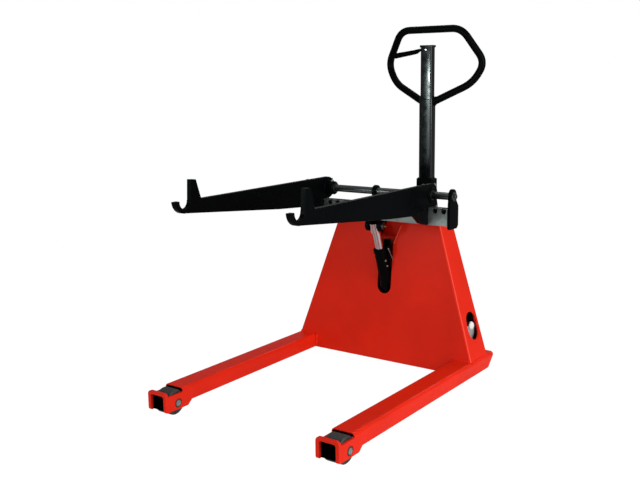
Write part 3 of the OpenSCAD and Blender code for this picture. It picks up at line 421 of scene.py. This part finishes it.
# Welds of the housing: beads of filler steel laid by hand along its seams, which hold its plates
# together and hold it down on the legs. They are painted over with the rest.
ALONG = 180.5  # mm from the middle of the truck to the foot of the housing's front plate


def at(x, y, z):
    """A point given in millimetres from the foot of the front plate, in the model's metres."""
    return Vector((x, y + ALONG, z)) / 1000


class Rule:
    """A Geometry Nodes tree laid out node after node, with a named input for each of its sizes."""

    def __init__(self, name, sizes, counts=("Seed",)):
        self.tree = bpy.data.node_groups.new(name, "GeometryNodeTree")
        face = self.tree.interface
        face.new_socket(name="Geometry", in_out="INPUT", socket_type="NodeSocketGeometry")
        for key in sizes:
            face.new_socket(name=key, in_out="INPUT", socket_type="NodeSocketFloat")
        for key in counts:
            face.new_socket(name=key, in_out="INPUT", socket_type="NodeSocketInt")
        face.new_socket(name="Finish", in_out="INPUT", socket_type="NodeSocketMaterial")
        face.new_socket(name="Geometry", in_out="OUTPUT", socket_type="NodeSocketGeometry")
        self.given = self.tree.nodes.new("NodeGroupInput").outputs

    def node(self, kind, given=(), out=0, **settings):
        made = self.tree.nodes.new(kind)
        for key, value in settings.items():
            setattr(made, key, value)
        for key, value in dict(given).items():
            if hasattr(value, "is_output"):
                self.tree.links.new(value, made.inputs[key])
            else:
                made.inputs[key].default_value = value
        return made.outputs[out]

    def maths(self, operation, a, b=0.0):
        return self.node("ShaderNodeMath", {0: a, 1: b}, operation=operation)

    def times(self, a, b):
        return self.maths("MULTIPLY", a, b)

    def triple(self, x=0.0, y=0.0, z=0.0):
        return self.node("ShaderNodeCombineXYZ", {"X": x, "Y": y, "Z": z})

    def joined(self, *parts):
        made = self.tree.nodes.new("GeometryNodeJoinGeometry")
        for part in reversed(parts):
            self.tree.links.new(part, made.inputs[0])
        return made.outputs[0]

    def moved(self, part, place=(0, 0, 0), turn=(0, 0, 0)):
        given = {"Geometry": part, "Translation": place, "Rotation": turn}
        return self.node("GeometryNodeTransform", given)

    def end(self, geometry):
        real = self.node("GeometryNodeRealizeInstances", {0: geometry})
        coated = self.node("GeometryNodeSetMaterial", {"Geometry": real, "Material": self.given["Finish"]})
        self.tree.links.new(coated, self.tree.nodes.new("NodeGroupOutput").inputs[0])
        return self

    def apply(self, mesh, finish, **values):
        """An object with this tree on it, its inputs set before it is first looked at."""
        work = bpy.data.objects.new("work", mesh)
        sockets = self.tree.interface.items_tree
        by_name = {item.name: item.identifier for item in sockets if item.in_out == "INPUT"}
        made = work.modifiers.new("rule", "NODES")
        made.node_group = self.tree
        made[by_name["Finish"]] = finish
        for key, value in values.items():
            made[by_name[key.replace("_", " ")]] = value
        bpy.context.scene.collection.objects.link(work)
        return work


# A weld bead: the seam's line drawn out into a round bead that swells with each drop laid down.
bead_rule = Rule("weld_bead", ("Radius", "Drop", "Swell"))
ask = bead_rule.given
line = bead_rule.node("GeometryNodeMeshToCurve", {"Mesh": ask["Geometry"]})
step = bead_rule.maths("DIVIDE", ask["Drop"], 4.0)
line = bead_rule.node("GeometryNodeResampleCurve", {"Curve": line, "Length": step}, mode="LENGTH")
run = bead_rule.node("GeometryNodeSplineParameter", out=1)
wave = bead_rule.maths("SINE", bead_rule.times(bead_rule.maths("DIVIDE", run, ask["Drop"]), tau))
shaken = {"W": ask["Seed"], "Scale": 90.0, "Detail": 2.0}
shake = bead_rule.node("ShaderNodeTexNoise", shaken, noise_dimensions="4D")
swell = bead_rule.times(bead_rule.maths("ADD", wave, bead_rule.times(shake, 1.6)), ask["Swell"])
swell = bead_rule.maths("ADD", swell, 0.9)
ring = bead_rule.node("GeometryNodeCurvePrimitiveCircle", {"Resolution": 10, "Radius": ask["Radius"]})
drawn = {"Curve": line, "Profile Curve": ring, "Scale": swell, "Fill Caps": True}
bead_rule.end(bead_rule.node("GeometryNodeCurveToMesh", drawn))


def lines_mesh(name, runs):
    """A mesh of open or closed lines. Each run is its points in metres and whether it is closed."""
    points, edges = [], []
    for run, closed in runs:
        first = len(points)
        points += [tuple(p) for p in run]
        edges += [(first + i, first + i + 1) for i in range(len(run) - 1)]
        if closed:
            edges.append((len(points) - 1, first))
    mesh = bpy.data.meshes.new(name)
    mesh.from_pydata(points, edges, [])
    return mesh


def placed(runs):
    """The same lines with their points brought from millimetres to their place."""
    return [([at(*p) for p in run], closed) for run, closed in runs]


def carried(piece, body):
    """Lets a piece ride on a body."""
    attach(piece, body)
    return piece


def welds(name, body, finish, radius, runs):
    """The weld beads of one body, laid along their seams and painted over with it."""
    mesh = lines_mesh(name, placed(runs))
    work = bead_rule.apply(mesh, finish, Radius=radius / 1000, Drop=0.0055, Swell=0.10, Seed=len(name))
    return carried(plain(work, name, finish, 60), body)


def side_x(z):
    """Half of the housing's width at that height, in millimetres."""
    return 366 - (z - 86) / 3


def front_y(z):
    """Station of the front plate's face at that height."""
    return 0.109 * (z - 36)


seams = []
for s in (-1, 1):
    # Sides down on the legs, plate foot on the legs, plate edge against the leg's inner wall
    seams.append(([(s * 366.3, 12 + k * 19, 84.5) for k in range(7)], False))
    seams.append(([(s * x, front_y(88) - 1.2, 87) for x in range(294, 362, 8)], False))
    seams.append(([(s * (side_x(z) - 6.5), 126.5, z) for z in range(92, 530, 24)], False))
    seams.append(([(s * 6.5, 127, z) for z in range(256, 396, 20)], False))
    for z in (252, 398.5):
        seams.append(([(s * x, 127, z) for x in range(10, 120, 10)], False))
for z in (251.5, 398.5):
    seams.append(([(49 * cos(tau * k / 40), 341 + 49 * sin(tau * k / 40), z) for k in range(40)], True))
welds("housing_welds", "chassis", red_coat, 3.2, seams)

# Slot's mouth: a thin tube in lighter red lies along each edge of the flared part as a painted highlight,
# and a heavier weld fills each corner between the front plate's foot and the leg. A round edge is a path
# drawn into a tube.
tube_rule = Rule("bent_tube", ("Radius",), ("Sides",))
ask = tube_rule.given
round_section = {"Resolution": ask["Sides"], "Radius": ask["Radius"]}
ring = tube_rule.node("GeometryNodeCurvePrimitiveCircle", round_section)
path = tube_rule.node("GeometryNodeMeshToCurve", {"Mesh": ask["Geometry"]})
drawn = {"Curve": path, "Profile Curve": ring, "Fill Caps": True}
tube_rule.end(tube_rule.node("GeometryNodeCurveToMesh", drawn))


def tubes(name, body, finish, radius, runs, sides=16):
    """Round tubes along smooth paths, one piece of one body."""
    work = tube_rule.apply(lines_mesh(name, runs), finish, Radius=radius / 1000, Sides=sides)
    return carried(plain(work, name, finish, 50), body)


slot_half, mouth_foot, flare = 30, 462, 0.41
mouth = []
for s in (-1, 1):
    rise = range(mouth_foot + 2, 532, 6)
    edge = [(s * (slot_half + (z - mouth_foot) * flare), front_y(z) + 0.6, z) for z in rise]
    mouth.append((edge, False))
edge_highlight_coat = sprayed("coat_with_painted_edge_highlight", (0.95, 0.11, 0.06), 0.30, 0.00004, (0.98, 0.2, 0.12), 0.5, 0.2)
tubes("slot_mouth_edges", "chassis", edge_highlight_coat.material, 1.5, placed(mouth), 12)
corners = [([(s * 287.8, front_y(z) - 0.5, z) for z in range(38, 88, 8)], False) for s in (-1, 1)]
welds("foot_corner_welds", "chassis", red_coat, 5.2, corners)

# Shaft ends: a near-white dome stands over each end of the ram's foot shaft, coloured white as a painted
# highlight; the right one shows in the hand hole.
highlight_white = moulded("white_painted_highlight", (0.86, 0.80, 0.80), 0.45, 500, 0.00003)
domes = bmesh.new()
for s in (-1, 1):
    squat = Matrix.Translation(at(s * 321.5, 88, 193)) @ Matrix.Diagonal((0.65, 1, 1, 1))
    bmesh.ops.create_uvsphere(domes, u_segments=40, v_segments=24, radius=0.0146, matrix=squat)
work = working(as_mesh(domes, "domes"))
carried(plain(work, "foot_shaft_highlight_domes", highlight_white, 60), "chassis")

# Steering head: two plates and a web welded to the rear plate carry the bearing tube. Bronze
# bushings and a thrust washer carry the fork's stem.
bronze = bare("bearing_bronze", (0.62, 0.43, 0.20), 0.32, (300, 300, 1800))
edged("steering_bracket", 1.0, red_coat)
edged("head_bushings", 0.4, bronze)
edged("thrust_bearing", 0.4, turned)


def headed(name, parts):
    """A rule that sets one head on every given spot, its foot to the surface and its turn by chance.

    A head is a stack of parts, each with its sides, foot radius, foot height, top height and top
    radius, all but the first in threads.
    """
    rule = Rule(name, ("Thread",))
    thread = rule.given["Thread"]
    made = []
    for sides, wide, low, high, top in parts:
        shape = rule.node(
            "GeometryNodeMeshCone",
            {
                "Vertices": sides,
                "Radius Bottom": rule.times(thread, wide),
                "Radius Top": rule.times(thread, top),
                "Depth": rule.times(thread, high - low),
            },
        )
        made.append(rule.moved(shape, rule.triple(z=rule.times(thread, low))))
    facing = rule.node("GeometryNodeInputNamedAttribute", {"Name": "facing"}, data_type="FLOAT_VECTOR")
    upright = rule.node("FunctionNodeAlignRotationToVector", {"Vector": facing}, axis="Z")
    turn = {2: 0.0, 3: tau, "Seed": rule.given["Seed"]}
    chance = rule.node("FunctionNodeRandomValue", turn, out=1, data_type="FLOAT")
    spin = rule.node("FunctionNodeAxisAngleToRotation", {"Angle": chance})
    turned_round = rule.node("FunctionNodeRotateRotation", {0: upright, 1: spin}, rotation_space="LOCAL")
    heads = rule.node(
        "GeometryNodeInstanceOnPoints",
        {"Points": rule.given["Geometry"], "Instance": rule.joined(*made), "Rotation": turned_round},
    )
    return rule.end(heads)


nipple_parts = [
    (6, 0.95, 0, 0.6, 0.95),
    (20, 0.62, 0.6, 1.35, 0.36),
    (20, 0.30, 1.35, 1.6, 0.50),
    (20, 0.50, 1.6, 1.95, 0.26),
]
nipple_rule = headed("grease_nipple", nipple_parts)


def heads(name, body, slot_name, finish, rule, thread, spots):
    """Screws or nipples of one body, each set at its spot in millimetres and facing that way."""
    mesh = bpy.data.meshes.new(name)
    mesh.from_pydata([tuple(at(*spot)) for spot, facing in spots], [], [])
    facings = mesh.attributes.new("facing", "FLOAT_VECTOR", "POINT")
    for item, (spot, facing) in zip(facings.data, spots):
        item.vector = facing
    work = rule.apply(mesh, finish, Thread=thread / 1000, Seed=7)
    return carried(plain(work, name, finish, 30), body)


leftwards = (-1, 0, 0)
head_spots = [((-48, 341, z), leftwards) for z in (330, 290)]
heads("head_nipples", "chassis", "zinc_plate", zinc, nipple_rule, 6, head_spots)

# Tilting frame: a square tube with side brackets, centre lug, pivot ears and the ram's lugs, welded
# together and sprayed satin black. It carries the notched bar in front and the shaft of the arms.
black, rubbed_black = (0.0014, 0.0018, 0.0021), (0.014, 0.016, 0.017)
satin_black = sprayed("satin_black_coat", black, 0.30, 0.00005, rubbed_black, 0.5, 0.035).material
for node in ("frame_beam", "end_bracket_left", "end_bracket_right", "centre_lug", "pivot_ears", "ram_lugs"):
    edged(node, 0.9, satin_black)
# Short runs along the bar's foot, then round the end brackets, at the centre lug, the pivot ears
# and the ram's lugs
seams = [([(x, -37.5, 564.5) for x in range(a, a + 34, 4)], False) for a in range(-280, 260, 66)]
for s in (-1, 1):
    over_tube = [(-37, 617.5), (-12, 617.5), (11, 617.5), (13.5, 615)]
    under_tube = [(13.5, 590), (13.5, 568), (11, 564.8), (-12, 564.8), (-36, 564.8)]
    seams.append(([(s * 292.5, y, z) for y, z in over_tube + under_tube], False))
    seams.append(([(s * 7.2, y, 617.2) for y in range(-34, 8, 5)], False))
    for x in (165.2, 181.8):
        seams.append(([(s * x, 13.4, z) for z in range(572, 614, 5)], False))
    for x in (16.6, 32.8):
        seams.append(([(s * x, y, 564.6) for y in range(-36, 8, 5)], False))
welds("frame_welds", "lift_frame", satin_black, 2.8, seams)

# Notched bar, made by its rule: a zinc-plated flat bar with a row of round-bottomed notches at an
# even pitch, which hold the feet of the arms where they are set.
bar_sizes = ("Length", "Height", "Thick", "Pitch", "Notch Width", "Notch Depth")
bar_rule = Rule("notched_bar", bar_sizes, ("Count",))
ask = bar_rule.given
size = bar_rule.triple(ask["Length"], ask["Thick"], ask["Height"])
plate = bar_rule.node("GeometryNodeMeshCube", {"Size": size})
outline = {"Width": ask["Notch Width"], "Height": bar_rule.times(ask["Notch Depth"], 2.0)}
notch = bar_rule.node("GeometryNodeCurvePrimitiveQuadrilateral", outline)
rounding = {"Curve": notch, "Radius": bar_rule.times(ask["Notch Width"], 0.499), "Count": 10}
notch = bar_rule.node("GeometryNodeFilletCurve", rounding, mode="POLY")
notch = bar_rule.node("GeometryNodeFillCurve", {"Curve": notch})
through = bar_rule.times(ask["Thick"], 3.0)
extruded = {"Mesh": notch, "Offset Scale": through, "Individual": False}
notch = bar_rule.node("GeometryNodeExtrudeMesh", extruded, mode="FACES")
notch = bar_rule.moved(notch, turn=(tau / 4, 0, 0))
notch = bar_rule.moved(notch, bar_rule.triple(y=bar_rule.maths("DIVIDE", through, 2.0)))
spaces = bar_rule.maths("SUBTRACT", ask["Count"], 1.0)
first = bar_rule.times(bar_rule.times(spaces, ask["Pitch"]), -0.5)
start = bar_rule.triple(x=first, z=bar_rule.maths("DIVIDE", ask["Height"], 2.0))
pitch = bar_rule.triple(x=ask["Pitch"])
row = {"Count": ask["Count"], "Start Location": start, "Offset": pitch}
row = bar_rule.node("GeometryNodeMeshLine", row)
cutters = bar_rule.node("GeometryNodeInstanceOnPoints", {"Points": row, "Instance": notch})
cutters = bar_rule.node("GeometryNodeRealizeInstances", {0: cutters})
both = {"Mesh 1": plate, "Mesh 2": cutters}
bar_rule.end(bar_rule.node("GeometryNodeMeshBoolean", both, operation="DIFFERENCE", solver="EXACT"))
work = bar_rule.apply(
    bpy.data.meshes.new("bar"),
    zinc,
    Length=0.5876,
    Height=0.058,
    Thick=0.0098,
    Pitch=0.033,
    Notch_Width=0.018,
    Notch_Depth=0.018,
    Count=18,
)
flat = worked_out(work)
flat.transform(Matrix.Translation(at(0, -43.1, 591)))
tidied = bmesh.new()
tidied.from_mesh(flat)
bmesh.ops.remove_doubles(tidied, verts=tidied.verts, dist=2e-6)
bmesh.ops.recalc_face_normals(tidied, faces=tidied.faces)
work = working(as_mesh(tidied, "bar"))
broken(work, 0.9)
settle(work, "notched_bar", zinc, 40)

# Arm shaft: a turned bar through the end brackets with a washer at each end. It is dark with oil,
# and so is the pin through the ram's lugs, which has a plated nipple at each end.
oiled_steel = bare("oiled_steel", (0.15, 0.16, 0.16), 0.25, (2600, 60, 60))
edged("arm_shaft", 1.2, oiled_steel)
edged("shaft_end_washers", 0.7, oiled_steel)
edged("ram_pin", 0.8, oiled_steel)
yellow_plated = bare("yellow_plated_steel", (0.42, 0.36, 0.12), 0.34, (260, 260, 260))
pin_ends = [((s * 37.3, -28, 538), (s, 0, 0)) for s in (-1, 1)]
heads("pin_nipples", "lift_frame", "zinc_plate", yellow_plated, nipple_rule, 4, pin_ends)

# Arms: flame-cut plate with a hook at the front and a foot behind that rests on the notched bar,
# a turned hub welded through its head, and a bronze bush that slides on the shaft.
def circle_x(x, y, z, radius, count=28):
    """Points round an axis along X, in millimetres."""
    return [(x, y + radius * cos(tau * k / count), z + radius * sin(tau * k / count)) for k in range(count)]


greased_bronze = bare("greased_bronze", (0.11, 0.105, 0.09), 0.36, (300, 300, 1800))
hub_station, head_half, head_radius = 214.5, 8.4, 24.6
for side in ("left", "right"):
    edged("arm_" + side, 1.0, satin_black)
    edged("arm_hub_" + side, 1.0, satin_black)
    edged("arm_bush_" + side, 0.5, greased_bronze)
    s = -1 if side == "left" else 1
    faces = [s * hub_station + e * head_half for e in (-1, 1)]
    rounds = [(circle_x(x, -22, 660, head_radius), True) for x in faces]
    welds("arm_welds_" + side, side + "_arm", satin_black, 2.8, rounds)
    top = [((s * 188, -22, 683.8), (0, 0, 1))]
    heads("hub_nipple_" + side, side + "_arm", "zinc_plate", zinc, nipple_rule, 6, top)

# Lifting ram: a drawn barrel with a screwed gland, a welded foot eye and a valve block behind,
# and a hard-chromed rod with a forged eye on top.
chrome = bare("hard_chrome", (0.66, 0.57, 0.58), 0.10, (60, 60, 900), 0.000006)
for node in ("ram_barrel", "ram_gland", "port_block", "ram_foot_eye"):
    edged(node, 0.9, satin_black)
edged("piston_rod", 1.0, chrome)


def on_ram(x, back, up):
    """A point on the leaning ram, from its foot shaft up along the barrel, in millimetres."""
    lean = Vector((0, -116, 345)).normalized()
    behind = Vector((0, 345, 116)).normalized()
    return tuple(Vector((x, 88, 193)) + behind * back + lean * up)


# Rod's eye: the chromed bar goes on up round the pin, bored across for it, with a flat milled on
# each side against its lug.
bar, flat_at, bore_radius = 0.0208, 0.0166, 0.015
lean = Matrix.Rotation(radians(18.584), 4, "X")
eye = bmesh.new()
bmesh.ops.create_cone(eye, cap_ends=True, segments=72, radius1=bar, radius2=bar, depth=0.036)
for s in (-1, 1):
    whole = eye.verts[:] + eye.edges[:] + eye.faces[:]
    cut = (s * flat_at, 0, 0)
    bmesh.ops.bisect_plane(eye, geom=whole, plane_co=cut, plane_no=(s, 0, 0), clear_outer=True)
    bmesh.ops.holes_fill(eye, edges=[e for e in eye.edges if e.is_boundary])
eye.transform(Matrix.Translation(at(*on_ram(0, 0, 358.98))) @ lean)
bore = bmesh.new()
round_bore = {"segments": 64, "radius1": bore_radius, "radius2": bore_radius, "depth": 0.06}
bmesh.ops.create_cone(bore, cap_ends=True, **round_bore)
bore.transform(Matrix.Translation(at(*on_ram(0, 0, 363.98))) @ Matrix.Rotation(radians(90), 4, "Y"))
work = working(as_mesh(eye, "eye"))
drill = working(as_mesh(bore, "bore"))
bored = work.modifiers.new("bore", "BOOLEAN")
bored.object, bored.operation, bored.solver = drill, "DIFFERENCE", "EXACT"
broken(work, 0.7)
settle(work, "rod_eye", chrome, 40)
bpy.data.objects.remove(drill)

# Welds of the ram: one bead round the barrel's foot and one along each side of the valve block.
around = [([on_ram(22.6 * cos(tau * k / 32), 22.6 * sin(tau * k / 32), 28.5) for k in range(32)], True)]
for x in (-20.5, 24.5):
    around.append(([on_ram(x * 0.86, 12, u) for u in range(196, 258, 6)], False))
welds("ram_welds", "ram", satin_black, 2.4, around)

# Oil pipe: thin zinc-plated tube, bent by hand, which runs down the right side of the valve block
# from its top to its foot, with a union nut at each end.
def bowed(points, cut, steps=10):
    """The path through the points with each inner corner drawn round over the length cut."""
    smooth = [Vector(points[0])]
    for before, tip, after in zip(points, points[1:], points[2:]):
        before, tip, after = Vector(before), Vector(tip), Vector(after)
        start = tip + (before - tip).normalized() * cut
        stop = tip + (after - tip).normalized() * cut
        for k in range(steps + 1):
            t = k / steps
            smooth.append((1 - t) ** 2 * start + 2 * t * (1 - t) * tip + t * t * stop)
    smooth.append(Vector(points[-1]))
    return smooth


pipe_points = [(25, 8, 271), (31, 8, 269), (31.5, 17, 234), (31, 26, 202), (25, 26, 200)]
pipe = [on_ram(*p) for p in pipe_points]
tubes("oil_pipe", "ram", zinc, 2.1, [(bowed([at(*p) for p in pipe], 0.004), False)], 14)
nuts = [([at(*on_ram(26, b, u)), at(*on_ram(29.5, b, u))], False) for b, u in ((8, 271), (26, 200))]
tubes("pipe_nuts", "ram", satin_black, 5, nuts, 6)

# Valve cap and bleed screws: a black cap with rounded edges stands on the block behind the rod,
# and two hexagon screws close the bleed holes in the barrel's right side.
cap = bmesh.new()
bmesh.ops.create_cube(cap, size=1)
bmesh.ops.scale(cap, vec=(0.025, 0.014, 0.0165), verts=cap.verts)
bmesh.ops.bevel(cap, geom=cap.edges[:], offset=0.002, segments=3, affect="EDGES")
cap.transform(Matrix.Translation(at(*on_ram(14.5, 35, 283.8))) @ lean)
carried(plain(working(as_mesh(cap, "cap")), "valve_cap", satin_black), "ram")
screw_parts = [(32, 1.05, 0, 0.2, 1.0), (6, 0.92, 0.2, 0.82, 0.92), (32, 0.80, 0.82, 0.88, 0.72)]
hexagon_rule = headed("hexagon_screw", screw_parts)
upper_bleed = (on_ram(20.4, -8.2, 227.4), (0.93, -0.35, -0.12))
lower_bleed = (on_ram(21.2, -5.7, 204.5), (0.96, -0.26, -0.09))
heads("bleed_screws", "ram", "zinc_plate", zinc, hexagon_rule, 3.6, [upper_bleed, lower_bleed])

# Hydraulic hose: braided rubber, which runs inside the housing from the ram's port to the union
# on the steering head, with a crimped steel sleeve at each end.
hose_black = moulded("hose_rubber", (0.016, 0.016, 0.017), 0.55, 900, 0.00006)
route = [(32, 73.9, 235), (56, 73.9, 235), (56, 81.9, 330)]
route += [(24, 105, 330), (24, 256.8, 330), (24, 276.8, 330)]
run = [(bowed([at(*p) for p in route], 0.011), False)]
hose = tubes("made_hydraulic_hose", "chassis", hose_black, 6.0, run, 20)
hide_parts("hydraulic_hose")
crimps = [([at(34, 73.9, 235), at(50, 73.9, 235)], False), ([at(24, 250, 330), at(24, 272, 330)], False)]
tubes("hose_crimps", "chassis", zinc, 8.2, crimps, 24)

# Pump and steering unit: a cast body with the oil tank turns with the tiller on its stem; a fork
# below carries two solid-tyred wheels on one pin.
cast, rubbed_cast = (0.006, 0.0065, 0.0075), (0.05, 0.05, 0.055)
cast_black = sprayed("cast_black_coat", cast, 0.46, 0.00020, rubbed_cast, 0.5, 0.30).material
tyre_black = moulded("tyre_rubber", (0.018, 0.018, 0.019), 0.62, 600, 0.00008)
wheel_metal = bare("turned_aluminium", (0.68, 0.69, 0.70), 0.34, (1600, 80, 80))
for node in ("pump_body", "wheel_carrier"):
    edged(node, 1.6, cast_black)
for node in ("steering_stem", "wheel_axle", "tiller_pin"):
    edged(node, 0.8, turned)
for side in ("left", "right"):
    edged("wheel_tyre_" + side, 1.2, tyre_black)
    edged("wheel_hub_" + side, 0.8, wheel_metal)
edged("pump_plunger", 0.8, chrome)
corners = [((x, 337 + y, 480), (0, 0, 1)) for x in (-37, 37) for y in (-45, 45)]
heads("tank_screws", "steering_unit", "zinc_plate", zinc, hexagon_rule, 6, corners)
plugs = [((-36, 318, 480), (0, 0, 1)), ((-48, 345, 450), leftwards)]
heads("tank_plug", "steering_unit", "zinc_plate", zinc, hexagon_rule, 12, plugs)

# Return spring of the pump: five turns of oiled wire between the pump body and the plunger's head.
coil_rule = Rule("coil_spring", ("Wire", "Radius", "Height", "Turns"))
ask = coil_rule.given
helix = {
    "Resolution": 40,
    "Rotations": ask["Turns"],
    "Start Radius": ask["Radius"],
    "End Radius": ask["Radius"],
    "Height": ask["Height"],
}
coil = coil_rule.node("GeometryNodeCurveSpiral", helix)
wire = coil_rule.node("GeometryNodeCurvePrimitiveCircle", {"Resolution": 12, "Radius": ask["Wire"]})
drawn = {"Curve": coil, "Profile Curve": wire, "Fill Caps": True}
coil_rule.end(coil_rule.node("GeometryNodeCurveToMesh", drawn))
coil_mesh = bpy.data.meshes.new("coil")
work = coil_rule.apply(coil_mesh, spring_dark, Wire=0.0015, Radius=0.0109, Height=0.0574, Turns=5.0)
spring_mesh = worked_out(work)
spring_mesh.transform(Matrix.Translation(at(0, 364.4, 481.7)))
spring = settle(working(spring_mesh), "pump_spring", spring_dark, 60)
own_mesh(spring)

# Tiller: a yoke of bent plate, a rectangular tube in two sizes, and a bent round tube as the grip,
# with the lowering lever in a window near its top.
deep_teal, rubbed_teal = (0.0016, 0.0024, 0.0027), (0.02, 0.024, 0.026)
glossy = sprayed("tiller_black_coat", deep_teal, 0.13, 0.000001, rubbed_teal, 0.3, 0.36)
# The tube's faces are drawn slightly full across, with a radius of this many metres
crown = 0.4
across = glossy.axes(glossy.place)["X"]
sag = glossy.times(glossy.times(across, across), -0.5 / crown)
glossy.bump(sag, 1.0, below=glossy.skin)
tiller_black = glossy.material
edged("tiller_tube", 0.9, tiller_black)
edged("tiller_upper_tube", 0.3, tiller_black)
edged("tiller_yoke", 0.9, satin_black)
edged("release_lever", 0.8, satin_black)
# The grip's right half from the tube's side to the top, and the left half after it
half = [(23.5, 347, 958), (164.8, 387, 1027.1), (206, 400, 1100.4), (127.7, 362.2, 1225)]
bend = [at(*p) for p in half] + [at(-x, y, z) for x, y, z in reversed(half)]
run = [(bowed(bend, 0.03914), False)]
loop = tubes("made_tiller_loop", "tiller", satin_black, 13.5, run, 40)
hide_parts("tiller_loop")
# The grip is welded round to the tube's sides, and the tube's foot to the yoke
grip_radius, tube_half, yoke_top = 14, 28.2, 669
rounds = []
for s in (-1, 1):
    along = Vector((s * 141.3, 40, 69.1)).normalized()
    up = along.cross(Vector((0, 1, 0))).normalized()
    out = along.cross(up)
    ring = []
    for k in range(28):
        turn = tau * k / 28
        p = Vector((s * 27, 348, 959.7)) + grip_radius * (cos(turn) * up + sin(turn) * out)
        ring.append(tuple(p + along * ((s * tube_half - p.x) / along.x)))
    rounds.append((ring, True))
    rounds.append(([(s * 28.5, y, yoke_top) for y in range(325, 360, 5)], False))
rounds.append(([(x, 322.5, yoke_top) for x in range(-26, 28, 4)], False))
welds("tiller_welds", "tiller", satin_black, 2.6, rounds)
yoke_screws = [((s * 33.5, 341, z), (s, 0, 0)) for s in (-1, 1) for z in (606, 644)]
heads("yoke_screws", "tiller", "zinc_plate", zinc, hexagon_rule, 8, yoke_screws)
edged("pumping_roller", 0.6, turned)
edged("lever_pin", 0.6, turned)
